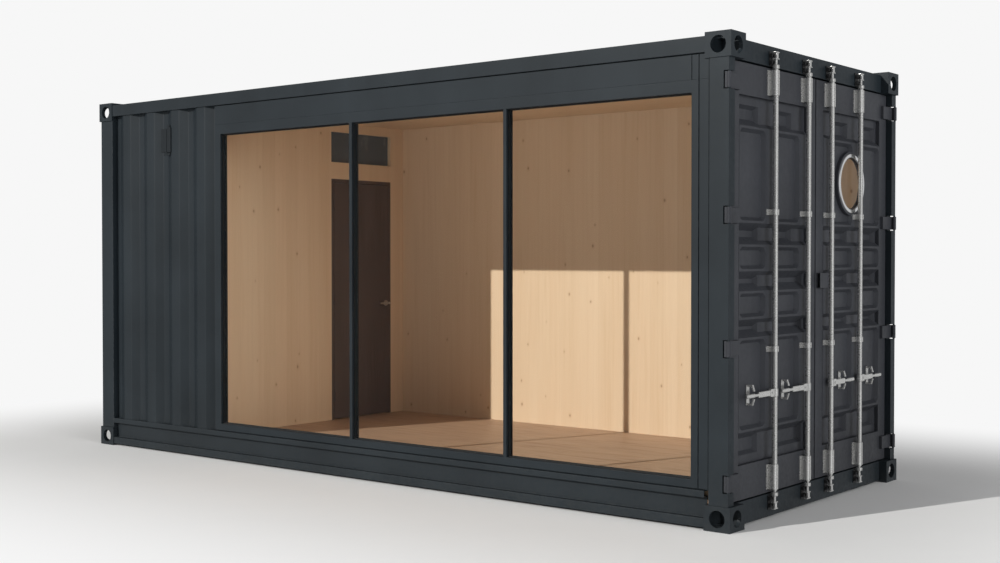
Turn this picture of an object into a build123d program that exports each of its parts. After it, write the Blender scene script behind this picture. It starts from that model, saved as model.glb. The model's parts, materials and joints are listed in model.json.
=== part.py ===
"""Shipping container cabin: a steel box with a glazed front, cargo doors at one end and a timber lining."""
import os
from build123d import *

os.makedirs("parts", exist_ok=True)

# overall box, millimetres
LENGTH = 6058.0
WIDTH = 2438.0
HEIGHT = 2896.0
HALF_LENGTH = LENGTH / 2
HALF_WIDTH = WIDTH / 2

# corner castings
CASTING_X = 173.0
CASTING_Y = 177.0
CASTING_Z = 150.0
CASTING_WALL = 26.0
CASTING_HOLE_RADIUS = 51.0
CASTING_HOLE_FROM_END = 85.0
CASTING_SLOT_LENGTH = 124.0
CASTING_SLOT_WIDTH = 63.5
CASTING_TOP_OFFSET = HEIGHT - CASTING_Z

# length a cutter runs past the piece it cuts
CUT_OVER = 2.0

# faces of the frame behind the faces of the castings
END_INSET = 16.0
SIDE_INSET = 6.0
RAIL_TOP_INSET = 20.0
SIDE_FACE = HALF_WIDTH - SIDE_INSET
END_FACE = HALF_LENGTH - END_INSET
DOOR_POST_X = 129.0
DOOR_POST_Y = 69.0
CLOSED_POST_X = 157.0
CLOSED_POST_Y = 69.0
DOOR_POST_INNER_X = END_FACE - DOOR_POST_X
CLOSED_POST_INNER_X = END_FACE - CLOSED_POST_X
POST_BOTTOM = CASTING_Z
POST_TOP = CASTING_TOP_OFFSET

# side rails
TOP_RAIL_TOP = HEIGHT - RAIL_TOP_INSET
TOP_RAIL_BOTTOM = 2782.0
TOP_RAIL_Y = 60.0
RAIL_WALL = 4.0
BOTTOM_RAIL_BOTTOM = 15.0
BOTTOM_RAIL_LIP = 70.0
BOTTOM_RAIL_WEB_TOP = 191.0
BOTTOM_RAIL_TOP = 231.0
BOTTOM_RAIL_Y = 63.0
BOTTOM_RAIL_RECESS = 38.0
RAIL_HALF_X = HALF_LENGTH - CASTING_X

# end rails
END_RAIL_X = 93.0
HEADER_BOTTOM = 2752.0
HEADER_TOP = 2876.0
SILL_BOTTOM = 10.0
SILL_TOP = 148.0
DOOR_FACE_INSET = 55.0
DOOR_FACE = HALF_LENGTH - DOOR_FACE_INSET
END_RAIL_HALF_Y = HALF_WIDTH - CASTING_Y

# corrugated sheets
SHEET = 2.5
CORRUGATION = 36.0
CORRUGATION_PITCH = 320.0
OUTER_FLAT = 100.0
SLOPE_RUN = 78.0
FRONT_RIBS = 4
FRONT_FIRST_RIB = HALF_LENGTH - 5749.0
BACK_RIBS = 17
BACK_FIRST_RIB = -2596.0
SHEET_SETBACK = 10.0
SHEET_FACE = SIDE_FACE - SHEET_SETBACK
END_CORRUGATION = 45.0
END_PITCH = 250.0
END_FLAT = 85.0
END_SLOPE = 40.0
END_SHEET_SETBACK = 8.0
END_RIBS = 8
END_FIRST_RIB = -917.5
ROOF_CORRUGATION = 20.0
ROOF_PITCH = 209.0
ROOF_FLAT = 95.0
ROOF_SLOPE = 13.0
ROOF_RIBS = 26
ROOF_FIRST_RIB = -2660.0
ROOF_SETBACK = 6.0
ROOF_TOP = TOP_RAIL_TOP - ROOF_SETBACK

# glazed front, distances from the door end of the box
FRAME_OUTER_LEFT = HALF_LENGTH - 4558.0
FRAME_INNER_LEFT = HALF_LENGTH - 4490.0
FRAME_INNER_RIGHT = HALF_LENGTH - 265.0
FRAME_OUTER_RIGHT = DOOR_POST_INNER_X
GLASS_BOTTOM = 290.0
GLASS_TOP = 2554.0
HEAD_PLATE_BOTTOM = 2629.0
MULLION_WIDTH = 27.0
MULLION_ONE = HALF_LENGTH - 3065.0
MULLION_TWO = HALF_LENGTH - 1658.0
WINDOW_SETBACK = 3.0
WINDOW_FACE = SIDE_FACE - WINDOW_SETBACK
WINDOW_DEPTH = 70.0
GLASS_SETBACK = 26.0
GLASS_THICK = 24.0
GROOVE = 8.0
GROOVE_DEPTH = 14.0
JAMB_GROOVE_X = HALF_LENGTH - 215.0
JAMB_GROOVE = 5.0
SEAM = 4.0
SEAM_DEPTH = 6.0

# lining, floor and inner wall
FLOOR_TOP = 172.0
FLOOR_THICK = 28.0
LINING_FACE = 1092.0
LINING_THICK = 73.0
LINING_AIR = 0.5
CEILING_LAP = 10.0
CEILING_BOTTOM = 2770.0
PARTITION_FACE = -1655.0
PARTITION_THICK = 100.0
INNER_DOOR_LEFT = 180.0
INNER_DOOR_RIGHT = 927.0
INNER_DOOR_TOP = 2278.0
TRANSOM_BOTTOM = 2424.0
TRANSOM_TOP = 2690.0
CROSS_MEMBER_PITCH = 305.0
CROSS_MEMBER_COUNT = 18
CROSS_MEMBER_HEIGHT = 100.0
CROSS_MEMBER_FLANGE = 45.0
CROSS_MEMBER_WALL = 5.0

# door leaves
LEAF_OUTER_Y = 1134.0
LEAF_GAP = 14.0
LEAF_INNER_Y = LEAF_GAP / 2
LEAF_BOTTOM = 157.0
LEAF_TOP = 2741.0
LEAF_DEPTH = 45.0
PANEL_BOTTOM = 363.0
PANEL_TOP = 2550.0
PANEL_OUTER_Y = 1019.0
PANEL_INNER_Y = 112.0
PANEL_SHEET = 3.0
PRESS_DEPTH = 25.0
PRESS_TAPER = 40.0
PRESS_CORNER = 42.0
ROW_DEPTH = 28.0
ROW_SLOPE = 25.0
SEAL_DEPTH = 8.0
SEAL_WIDTH = 34.0

# recesses of a leaf: heights of the rows, spans from the outer edge of the box
LONG_ROWS = ((1811.0, 2357.0), (1523.0, 1655.0), (1237.0, 1378.0), (569.0, 1101.0))
SHORT_ROWS = ((2371.0, 2580.0), (1669.0, 1797.0), (1392.0, 1509.0), (1115.0, 1223.0), (333.0, 555.0))
LONG_SPANS = ((206.0, 534.0), (654.0, 985.0))
SHORT_SPANS = ((206.0, 507.0), (654.0, 949.0))
DEEP_SPAN = (654.0, 1100.0)
DEEP_ROW = 2

# hinges
PIN_X = HALF_LENGTH - 19.0
PIN_Y = HALF_WIDTH - 17.0
PIN_RADIUS = 7.5
KNUCKLE_RADIUS = 13.0
KNUCKLE_HEIGHT = 92.0
HINGE_SLOT_HEIGHT = 106.0
HINGE_HEIGHTS = (281.0, 1063.0, 1836.0, 2614.0)
HINGE_SLOT_X = 36.0
BLADE_BACK = PIN_X - 27.0
BLADE_THICK = 10.0
BLADE_ROOT_Y = 1120.0
BLADE_OUTER_Y = 1128.0
BLADE_INNER_Y = 1040.0
BLADE_TAPER = 8.0
NECK = 12.0

# locking bars
BAR_X = HALF_LENGTH - 22.0
BAR_RADIUS = 16.0
BAR_OUTER_Y = 623.0
BAR_INNER_Y = 171.0
BAR_CLEARANCE = 0.6
STRAP = 4.0
HANDLE_Z = 770.0
HANDLE_LENGTH = 356.0
HUB_HEIGHT = 52.0
LUG_LENGTH = 64.0
LUG_THICK = 20.0
ROOT_LENGTH = 226.0
ROOT_HEIGHT = 34.0
ROOT_THICK = 12.0
GRIP_HEIGHT = 26.0
GRIP_THICK = 16.0
KEEPER_TOP_Z = 2792.0
KEEPER_BOTTOM_Z = 104.0

# round window in the far leaf
PORT_Y = 551.0
PORT_Z = 2092.0
PORT_RING_RADIUS = 203.0
PORT_CLEAR_RADIUS = 172.0

# seal stops behind the leaves
STOP_BACK = HALF_LENGTH - 118.0
STOP_THICK = 6.0
STOP_INNER_Y = 1104.0
STOP_HEIGHT = 40.0
STOP_DEPTH = 36.0

# folded plates
FOLD = 6.0
HEAD_Y = 60.0

# inner door
JAMB = 30.0
DOOR_PLAY = 5.0
INNER_LEAF_THICK = 40.0
INNER_LEAF_LIFT = 8.0
BARREL_OUT = 8.0
BARREL_RADIUS = 6.5
BARREL_PIN = 4.0
BARREL_BORE = 4.1
BARREL_HEIGHT = 44.0
BARREL_GAP = 0.5
BARREL_HEIGHTS = (380.0, 1220.0, 2050.0)
WING_THICK = 3.0
WING_WIDTH = 30.0
TRANSOM_PANE = 30.0
LEVER_Y = 860.0
LEVER_Z = 1178.0
ROSE_RADIUS = 25.0
ROSE_THICK = 8.0
SPINDLE_RADIUS = 9.0
SPINDLE_LENGTH = 52.0
LEVER_LENGTH = 120.0
LEVER_HEIGHT = 16.0
LEVER_THICK = 12.0

# vent hood
VENT_LEFT = HALF_LENGTH - 5229.0
VENT_RIGHT = HALF_LENGTH - 5102.0
VENT_BOTTOM = 2420.0
VENT_TOP = 2666.0
VENT_DEPTH = 9.0
VENT_SLOPE = 30.0

# keepers, cams and lock box
KEEPER_X = 16.0
KEEPER_Y = 36.0
KEEPER_Z = 34.0
CAM_BACK = 14.0
CAM_WIDTH = 18.0
CAM_REACH = 26.0
CAM_HALF = 36.0
PRONG = 12.0
LOCK_LEFT = 16.0
LOCK_RIGHT = 140.0
LOCK_BOTTOM = 1394.0
LOCK_TOP = 1491.0
LOCK_DEPTH = 28.0
LOCK_WALL = 4.0

# bar brackets: height, place up the leaf and half width of the foot plate
BRACKETS = ((2650.0, 152.0, 50.0), (1867.0, 34.0, 58.0), (1035.0, 34.0, 58.0), (255.0, 152.0, 50.0))
FOOT_PLATE = 8.0
CATCH_FROM_BAR = 245.0
CATCH_BASE_WIDTH = 40.0
CATCH_BASE_HEIGHT = 124.0
CATCH_BASE_OUT = 6.0
JAW_OFFSET = 40.0
JAW_HEIGHT = 44.0
JAW_WIDTH = 18.0
JAW_REACH = 38.0

# round window
PORT_FLANGE_RIM = 12.0
RING_OUT = 6.0
PANE_THICK = 10.0


END_SHEET_FACE = END_FACE - END_SHEET_SETBACK
END_SHEET_INNER = END_SHEET_FACE - END_CORRUGATION - SHEET
CLOSED_RAIL_X = END_FACE - END_SHEET_INNER
CASTING_CENTRES = []
for along in (-1, 1):
    for across in (-1, 1):
        for low in (0, CASTING_TOP_OFFSET):
            CASTING_CENTRES.append(
                (
                    along * (HALF_LENGTH - CASTING_X / 2),
                    across * (HALF_WIDTH - CASTING_Y / 2),
                    low + CASTING_Z / 2,
                )
            )


def ribbed_outline(start, end, first, count, pitch, flat, run, face, depth):
    """Closed outline of a corrugated sheet: position along it first, distance outwards second."""
    low = face - depth
    outer = [(start, low)]
    for index in range(count):
        rib = first + index * pitch
        outer.append((rib - run, low))
        outer.append((rib, face))
        outer.append((rib + flat, face))
        outer.append((rib + flat + run, low))
    outer.append((end, low))
    inner = [(position, outward - SHEET) for position, outward in reversed(outer)]
    return outer + inner + [outer[0]]


# corner castings: hollow blocks with round holes in the side and end faces
with BuildPart() as castings:
    for sx in (-1, 1):
        for sy in (-1, 1):
            for base, slot_z in ((0, 0), (CASTING_TOP_OFFSET, HEIGHT)):
                centre_x = sx * (HALF_LENGTH - CASTING_X / 2)
                centre_y = sy * (HALF_WIDTH - CASTING_Y / 2)
                with Locations((centre_x, centre_y, base + CASTING_Z / 2)):
                    Box(CASTING_X, CASTING_Y, CASTING_Z)
                    Box(
                        CASTING_X - 2 * CASTING_WALL,
                        CASTING_Y - 2 * CASTING_WALL,
                        CASTING_Z - 2 * CASTING_WALL,
                        mode=Mode.SUBTRACT,
                    )
                side_x = sx * (HALF_LENGTH - CASTING_HOLE_FROM_END)
                side_y = sy * (HALF_WIDTH - CASTING_WALL / 2)
                with Locations(Location((side_x, side_y, base + CASTING_Z / 2), (90, 0, 0))):
                    Cylinder(CASTING_HOLE_RADIUS, CASTING_WALL + CUT_OVER, mode=Mode.SUBTRACT)
                end_x = sx * (HALF_LENGTH - CASTING_WALL / 2)
                with Locations(Location((end_x, centre_y, base + CASTING_Z / 2), (0, 90, 0))):
                    Cylinder(CASTING_HOLE_RADIUS, CASTING_WALL + CUT_OVER, mode=Mode.SUBTRACT)
                with BuildSketch(Plane.XY.offset(slot_z)):
                    with Locations((centre_x, centre_y)):
                        SlotOverall(CASTING_SLOT_LENGTH, CASTING_SLOT_WIDTH)
                extrude(amount=CASTING_WALL + CUT_OVER, both=True, mode=Mode.SUBTRACT)
castings.part.label = "corner_castings"
export_step(castings.part, "parts/corner_castings.step")

# posts at the cargo doors: closed box section, seal stop behind the leaf, slots and pins for the hinges
POST_LENGTH = POST_TOP - POST_BOTTOM
with BuildPart() as door_posts:
    for sy in (-1, 1):
        with Locations((END_FACE - DOOR_POST_X / 2, sy * (SIDE_FACE - DOOR_POST_Y / 2), HEIGHT / 2)):
            Box(DOOR_POST_X, DOOR_POST_Y, POST_LENGTH)
        stop_y = sy * (STOP_INNER_Y + SIDE_FACE - DOOR_POST_Y) / 2
        with Locations((STOP_BACK + STOP_THICK / 2, stop_y, HEIGHT / 2)):
            Box(STOP_THICK, SIDE_FACE - DOOR_POST_Y - STOP_INNER_Y, POST_LENGTH)
        for z in HINGE_HEIGHTS:
            with Locations((END_FACE - HINGE_SLOT_X / 2, sy * (SIDE_FACE - DOOR_POST_Y / 2), z)):
                Box(HINGE_SLOT_X, DOOR_POST_Y, HINGE_SLOT_HEIGHT, mode=Mode.SUBTRACT)
            with Locations((PIN_X, sy * PIN_Y, z)):
                Cylinder(PIN_RADIUS, HINGE_SLOT_HEIGHT)
door_posts.part.label = "door_posts"
export_step(door_posts.part, "parts/door_posts.step")

# posts at the closed end
with BuildPart() as closed_posts:
    for sy in (-1, 1):
        post_x = -(END_FACE - CLOSED_POST_X / 2)
        with Locations((post_x, sy * (SIDE_FACE - CLOSED_POST_Y / 2), HEIGHT / 2)):
            Box(CLOSED_POST_X, CLOSED_POST_Y, POST_LENGTH)
closed_posts.part.label = "closed_posts"
export_step(closed_posts.part, "parts/closed_posts.step")

# top side rails: square tubes from casting to casting
with BuildPart() as top_rails:
    for sy in (-1, 1):
        rail_z = (TOP_RAIL_BOTTOM + TOP_RAIL_TOP) / 2
        with Locations((0, sy * (SIDE_FACE - TOP_RAIL_Y / 2), rail_z)):
            Box(2 * RAIL_HALF_X, TOP_RAIL_Y, TOP_RAIL_TOP - TOP_RAIL_BOTTOM)
            Box(
                2 * RAIL_HALF_X,
                TOP_RAIL_Y - 2 * RAIL_WALL,
                TOP_RAIL_TOP - TOP_RAIL_BOTTOM - 2 * RAIL_WALL,
                mode=Mode.SUBTRACT,
            )
top_rails.part.label = "top_side_rails"
export_step(top_rails.part, "parts/top_side_rails.step")

# bottom side rails: folded plate with a recessed web
RAIL_INNER = SIDE_FACE - BOTTOM_RAIL_Y
WEB_OUTER = SIDE_FACE - BOTTOM_RAIL_RECESS
WEB_INNER = WEB_OUTER - FOLD
rail_section = [
    (RAIL_INNER, BOTTOM_RAIL_BOTTOM),
    (SIDE_FACE, BOTTOM_RAIL_BOTTOM),
    (SIDE_FACE, BOTTOM_RAIL_LIP),
    (WEB_OUTER, BOTTOM_RAIL_LIP),
    (WEB_OUTER, BOTTOM_RAIL_WEB_TOP),
    (SIDE_FACE, BOTTOM_RAIL_WEB_TOP),
    (SIDE_FACE, BOTTOM_RAIL_TOP),
    (RAIL_INNER, BOTTOM_RAIL_TOP),
    (RAIL_INNER, BOTTOM_RAIL_TOP - FOLD),
    (SIDE_FACE - FOLD, BOTTOM_RAIL_TOP - FOLD),
    (SIDE_FACE - FOLD, BOTTOM_RAIL_WEB_TOP + FOLD),
    (WEB_INNER, BOTTOM_RAIL_WEB_TOP + FOLD),
    (WEB_INNER, BOTTOM_RAIL_LIP - FOLD),
    (SIDE_FACE - FOLD, BOTTOM_RAIL_LIP - FOLD),
    (SIDE_FACE - FOLD, BOTTOM_RAIL_BOTTOM + FOLD),
    (RAIL_INNER, BOTTOM_RAIL_BOTTOM + FOLD),
    (RAIL_INNER, BOTTOM_RAIL_BOTTOM),
]
with BuildPart() as bottom_rails:
    for sy in (-1, 1):
        with BuildSketch(Plane.YZ):
            with BuildLine():
                Polyline([(sy * y, z) for y, z in rail_section])
            make_face()
        extrude(amount=RAIL_HALF_X, both=True)
bottom_rails.part.label = "bottom_side_rails"
export_step(bottom_rails.part, "parts/bottom_side_rails.step")

# header over the cargo doors
STOP_X = STOP_BACK + STOP_THICK
with BuildPart() as header:
    with Locations((DOOR_FACE - END_RAIL_X / 2, 0, (HEADER_BOTTOM + HEADER_TOP) / 2)):
        Box(END_RAIL_X, 2 * END_RAIL_HALF_Y, HEADER_TOP - HEADER_BOTTOM)
    with Locations((STOP_X - STOP_DEPTH / 2, 0, POST_TOP - STOP_HEIGHT / 2)):
        Box(STOP_DEPTH, 2 * STOP_INNER_Y, STOP_HEIGHT)
    with Locations((STOP_X - STOP_DEPTH / 2, 0, (POST_TOP + HEADER_BOTTOM) / 2)):
        Box(STOP_DEPTH, 2 * END_RAIL_HALF_Y, HEADER_BOTTOM - POST_TOP)
header.part.label = "door_header"
export_step(header.part, "parts/door_header.step")

# sill under the cargo doors
with BuildPart() as sill:
    with Locations((DOOR_FACE - END_RAIL_X / 2, 0, (SILL_BOTTOM + SILL_TOP) / 2)):
        Box(END_RAIL_X, 2 * END_RAIL_HALF_Y, SILL_TOP - SILL_BOTTOM)
    with Locations((STOP_X - STOP_DEPTH / 2, 0, POST_BOTTOM + STOP_HEIGHT / 2)):
        Box(STOP_DEPTH, 2 * STOP_INNER_Y, STOP_HEIGHT)
    with Locations((STOP_X - STOP_DEPTH / 2, 0, (POST_BOTTOM + SILL_TOP) / 2)):
        Box(STOP_DEPTH, 2 * END_RAIL_HALF_Y, POST_BOTTOM - SILL_TOP)
sill.part.label = "door_sill"
export_step(sill.part, "parts/door_sill.step")

# rails of the closed end
with BuildPart() as closed_rails:
    for low, high in ((SILL_BOTTOM, POST_BOTTOM), (TOP_RAIL_BOTTOM, TOP_RAIL_TOP)):
        with Locations((-(END_FACE - CLOSED_RAIL_X / 2), 0, (low + high) / 2)):
            Box(CLOSED_RAIL_X, 2 * END_RAIL_HALF_Y, high - low)
closed_rails.part.label = "closed_end_rails"
export_step(closed_rails.part, "parts/closed_end_rails.step")

# head plate over the glazing
with BuildPart() as head_plate:
    head_x = (FRAME_OUTER_LEFT + FRAME_OUTER_RIGHT) / 2
    head_length = FRAME_OUTER_RIGHT - FRAME_OUTER_LEFT
    head_z = (HEAD_PLATE_BOTTOM + TOP_RAIL_BOTTOM) / 2
    with Locations((head_x, -(WINDOW_FACE - HEAD_Y / 2), head_z)):
        Box(head_length, HEAD_Y, TOP_RAIL_BOTTOM - HEAD_PLATE_BOTTOM)
        Box(
            head_length,
            HEAD_Y - 2 * RAIL_WALL,
            TOP_RAIL_BOTTOM - HEAD_PLATE_BOTTOM - 2 * RAIL_WALL,
            mode=Mode.SUBTRACT,
        )
    lip_z = TOP_RAIL_BOTTOM - (GROOVE + RAIL_WALL) / 2
    with Locations((head_x, -(WINDOW_FACE - HEAD_Y / 2), lip_z)):
        Box(head_length, HEAD_Y, GROOVE + RAIL_WALL)
    jamb_width = FRAME_OUTER_RIGHT - FRAME_INNER_RIGHT
    jamb_x = (FRAME_OUTER_RIGHT + FRAME_INNER_RIGHT) / 2
    with Locations((jamb_x, -(WINDOW_FACE - HEAD_Y / 2), head_z)):
        Box(jamb_width, HEAD_Y, TOP_RAIL_BOTTOM - HEAD_PLATE_BOTTOM)
    with Locations((head_x, -(WINDOW_FACE - GROOVE_DEPTH / 2), TOP_RAIL_BOTTOM - GROOVE / 2)):
        Box(head_length, GROOVE_DEPTH, GROOVE, mode=Mode.SUBTRACT)
    with Locations((JAMB_GROOVE_X, -(WINDOW_FACE - GROOVE_DEPTH / 2), head_z)):
        Box(JAMB_GROOVE, GROOVE_DEPTH, TOP_RAIL_BOTTOM - HEAD_PLATE_BOTTOM, mode=Mode.SUBTRACT)
    seam_y = -(WINDOW_FACE - SEAM_DEPTH / 2)
    with Locations((FRAME_INNER_RIGHT + SEAM / 2, seam_y, head_z), (FRAME_OUTER_RIGHT - SEAM / 2, seam_y, head_z)):
        Box(SEAM, SEAM_DEPTH, TOP_RAIL_BOTTOM - HEAD_PLATE_BOTTOM, mode=Mode.SUBTRACT)
    with Locations(*CASTING_CENTRES):
        Box(CASTING_X, CASTING_Y, CASTING_Z, mode=Mode.SUBTRACT)
head_plate.part.label = "head_plate"
export_step(head_plate.part, "parts/head_plate.step")

# corrugated side walls
WALL_BOTTOM = BOTTOM_RAIL_TOP
WALL_TOP = TOP_RAIL_BOTTOM
front_outline = ribbed_outline(
    -CLOSED_POST_INNER_X, FRAME_OUTER_LEFT, FRONT_FIRST_RIB, FRONT_RIBS,
    CORRUGATION_PITCH, OUTER_FLAT, SLOPE_RUN, SHEET_FACE, CORRUGATION,
)
with BuildPart() as front_sheet:
    with BuildSketch(Plane.XY.offset(WALL_BOTTOM)):
        with BuildLine():
            Polyline([(x, -y) for x, y in front_outline])
        make_face()
    extrude(amount=WALL_TOP - WALL_BOTTOM)
front_sheet.part.label = "front_sheet"
export_step(front_sheet.part, "parts/front_sheet.step")

back_outline = ribbed_outline(
    -CLOSED_POST_INNER_X, DOOR_POST_INNER_X, BACK_FIRST_RIB, BACK_RIBS,
    CORRUGATION_PITCH, OUTER_FLAT, SLOPE_RUN, SHEET_FACE, CORRUGATION,
)
with BuildPart() as back_sheet:
    with BuildSketch(Plane.XY.offset(WALL_BOTTOM)):
        with BuildLine():
            Polyline(back_outline)
        make_face()
    extrude(amount=WALL_TOP - WALL_BOTTOM)
    with Locations(*CASTING_CENTRES):
        Box(CASTING_X, CASTING_Y, CASTING_Z, mode=Mode.SUBTRACT)
back_sheet.part.label = "back_sheet"
export_step(back_sheet.part, "parts/back_sheet.step")

# corrugated closed end
POST_INNER_Y = SIDE_FACE - CLOSED_POST_Y
end_outline = ribbed_outline(
    -POST_INNER_Y, POST_INNER_Y, END_FIRST_RIB, END_RIBS,
    END_PITCH, END_FLAT, END_SLOPE, END_SHEET_FACE, END_CORRUGATION,
)
with BuildPart() as end_sheet:
    with BuildSketch(Plane.XY.offset(POST_BOTTOM)):
        with BuildLine():
            Polyline([(-x, y) for y, x in end_outline])
        make_face()
    extrude(amount=TOP_RAIL_BOTTOM - POST_BOTTOM)
    with Locations(*CASTING_CENTRES):
        Box(CASTING_X, CASTING_Y, CASTING_Z, mode=Mode.SUBTRACT)
end_sheet.part.label = "end_sheet"
export_step(end_sheet.part, "parts/end_sheet.step")

# roof sheet, corrugated across the box
TOP_RAIL_INNER = SIDE_FACE - TOP_RAIL_Y
roof_outline = ribbed_outline(
    -RAIL_HALF_X, RAIL_HALF_X, ROOF_FIRST_RIB, ROOF_RIBS,
    ROOF_PITCH, ROOF_FLAT, ROOF_SLOPE, ROOF_TOP, ROOF_CORRUGATION,
)
ROOF_LOW = ROOF_TOP - ROOF_CORRUGATION
with BuildPart() as roof:
    with BuildSketch(Plane.XZ):
        with BuildLine():
            Polyline(roof_outline)
        make_face()
    extrude(amount=TOP_RAIL_INNER, both=True)
    for low, high in (
        (-(END_FACE - CLOSED_RAIL_X), -RAIL_HALF_X),
        (RAIL_HALF_X, DOOR_FACE - END_RAIL_X),
    ):
        with Locations(((low + high) / 2, 0, ROOF_LOW - SHEET / 2)):
            Box(high - low, 2 * END_RAIL_HALF_Y, SHEET)
roof.part.label = "roof_sheet"
export_step(roof.part, "parts/roof_sheet.step")

# cross members under the floor
FLOOR_BOTTOM = FLOOR_TOP - FLOOR_THICK
MEMBER_BOTTOM = FLOOR_BOTTOM - CROSS_MEMBER_HEIGHT
half = CROSS_MEMBER_FLANGE / 2
member_section = [
    (-half, MEMBER_BOTTOM),
    (half, MEMBER_BOTTOM),
    (half, MEMBER_BOTTOM + CROSS_MEMBER_WALL),
    (-half + CROSS_MEMBER_WALL, MEMBER_BOTTOM + CROSS_MEMBER_WALL),
    (-half + CROSS_MEMBER_WALL, FLOOR_BOTTOM - CROSS_MEMBER_WALL),
    (half, FLOOR_BOTTOM - CROSS_MEMBER_WALL),
    (half, FLOOR_BOTTOM),
    (-half, FLOOR_BOTTOM),
    (-half, MEMBER_BOTTOM),
]
with BuildPart() as members:
    for index in range(CROSS_MEMBER_COUNT):
        shift = (index - (CROSS_MEMBER_COUNT - 1) / 2) * CROSS_MEMBER_PITCH
        with BuildSketch(Plane.XZ):
            with BuildLine():
                Polyline([(x + shift, z) for x, z in member_section])
            make_face()
        extrude(amount=WEB_INNER, both=True)
members.part.label = "cross_members"
export_step(members.part, "parts/cross_members.step")

# floor boards
FLOOR_END_X = STOP_X - STOP_DEPTH
with BuildPart() as floor:
    floor_x = (FLOOR_END_X - CLOSED_POST_INNER_X) / 2
    with Locations((floor_x, 0, FLOOR_TOP - FLOOR_THICK / 2)):
        Box(FLOOR_END_X + CLOSED_POST_INNER_X, 2 * WEB_INNER, FLOOR_THICK)
    with Locations(*CASTING_CENTRES):
        Box(CASTING_X, CASTING_Y, CASTING_Z, mode=Mode.SUBTRACT)
floor.part.label = "floor_boards"
export_step(floor.part, "parts/floor_boards.step")

# timber linings
LINING_BACK = LINING_FACE + LINING_THICK - LINING_AIR
LINING_LENGTH = FLOOR_END_X + CLOSED_POST_INNER_X
LINING_MIDDLE = (FLOOR_END_X - CLOSED_POST_INNER_X) / 2
LINING_FOOT = BOTTOM_RAIL_TOP - FLOOR_TOP
LINING_HEIGHT = CEILING_BOTTOM - FLOOR_TOP
LINING_Z = (CEILING_BOTTOM + FLOOR_TOP) / 2
with BuildPart() as back_lining:
    with Locations((LINING_MIDDLE, (LINING_FACE + LINING_BACK) / 2, LINING_Z)):
        Box(LINING_LENGTH, LINING_BACK - LINING_FACE, LINING_HEIGHT)
    with Locations((LINING_MIDDLE, (RAIL_INNER + LINING_BACK) / 2, FLOOR_TOP + LINING_FOOT / 2)):
        Box(LINING_LENGTH, LINING_BACK - RAIL_INNER, LINING_FOOT, mode=Mode.SUBTRACT)
    with Locations(*CASTING_CENTRES):
        Box(CASTING_X, CASTING_Y, CASTING_Z, mode=Mode.SUBTRACT)
back_lining.part.label = "back_lining"
export_step(back_lining.part, "parts/back_lining.step")

FRAME_BACK = WINDOW_FACE - WINDOW_DEPTH
HEAD_BACK = WINDOW_FACE - HEAD_Y
with BuildPart() as front_lining:
    front_length = FRAME_OUTER_LEFT + CLOSED_POST_INNER_X
    front_x = (FRAME_OUTER_LEFT - CLOSED_POST_INNER_X) / 2
    with Locations((front_x, -(LINING_FACE + LINING_BACK) / 2, LINING_Z)):
        Box(front_length, LINING_BACK - LINING_FACE, LINING_HEIGHT)
    with Locations((front_x, -(RAIL_INNER + LINING_BACK) / 2, FLOOR_TOP + LINING_FOOT / 2)):
        Box(front_length, LINING_BACK - RAIL_INNER, LINING_FOOT, mode=Mode.SUBTRACT)
    strip_length = FLOOR_END_X - FRAME_OUTER_LEFT
    strip_x = (FLOOR_END_X + FRAME_OUTER_LEFT) / 2
    with Locations((strip_x, -(RAIL_INNER + FRAME_BACK) / 2, (FLOOR_TOP + BOTTOM_RAIL_TOP) / 2)):
        Box(strip_length, RAIL_INNER - FRAME_BACK, BOTTOM_RAIL_TOP - FLOOR_TOP)
    strip_z = (HEAD_PLATE_BOTTOM + CEILING_BOTTOM) / 2
    with Locations((strip_x, -(HEAD_BACK + FRAME_BACK) / 2, strip_z)):
        Box(strip_length, HEAD_BACK - FRAME_BACK, CEILING_BOTTOM - HEAD_PLATE_BOTTOM)
    with Locations(*CASTING_CENTRES):
        Box(CASTING_X, CASTING_Y, CASTING_Z, mode=Mode.SUBTRACT)
front_lining.part.label = "front_lining"
export_step(front_lining.part, "parts/front_lining.step")

with BuildPart() as end_lining:
    with Locations((-(END_SHEET_INNER + CLOSED_POST_INNER_X) / 2, 0, LINING_Z)):
        Box(END_SHEET_INNER - CLOSED_POST_INNER_X, 2 * POST_INNER_Y, LINING_HEIGHT)
    for low, high in ((FLOOR_BOTTOM, FLOOR_TOP), (CEILING_BOTTOM, WALL_TOP)):
        with Locations((-(END_SHEET_INNER + CLOSED_POST_INNER_X) / 2, 0, (low + high) / 2)):
            Box(END_SHEET_INNER - CLOSED_POST_INNER_X, 2 * END_RAIL_HALF_Y, high - low)
    with Locations(*CASTING_CENTRES):
        Box(CASTING_X, CASTING_Y, CASTING_Z, mode=Mode.SUBTRACT)
end_lining.part.label = "end_lining"
export_step(end_lining.part, "parts/end_lining.step")

with BuildPart() as ceiling:
    ceiling_y = (TOP_RAIL_INNER + CEILING_LAP - HEAD_BACK) / 2
    ceiling_width = TOP_RAIL_INNER + CEILING_LAP + HEAD_BACK
    ceiling_x = (FLOOR_END_X - CLOSED_POST_INNER_X) / 2
    with Locations((ceiling_x, ceiling_y, (CEILING_BOTTOM + WALL_TOP) / 2)):
        Box(FLOOR_END_X + CLOSED_POST_INNER_X, ceiling_width, WALL_TOP - CEILING_BOTTOM)
    with Locations(*CASTING_CENTRES):
        Box(CASTING_X, CASTING_Y, CASTING_Z, mode=Mode.SUBTRACT)
ceiling.part.label = "ceiling_lining"
export_step(ceiling.part, "parts/ceiling_lining.step")

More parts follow.
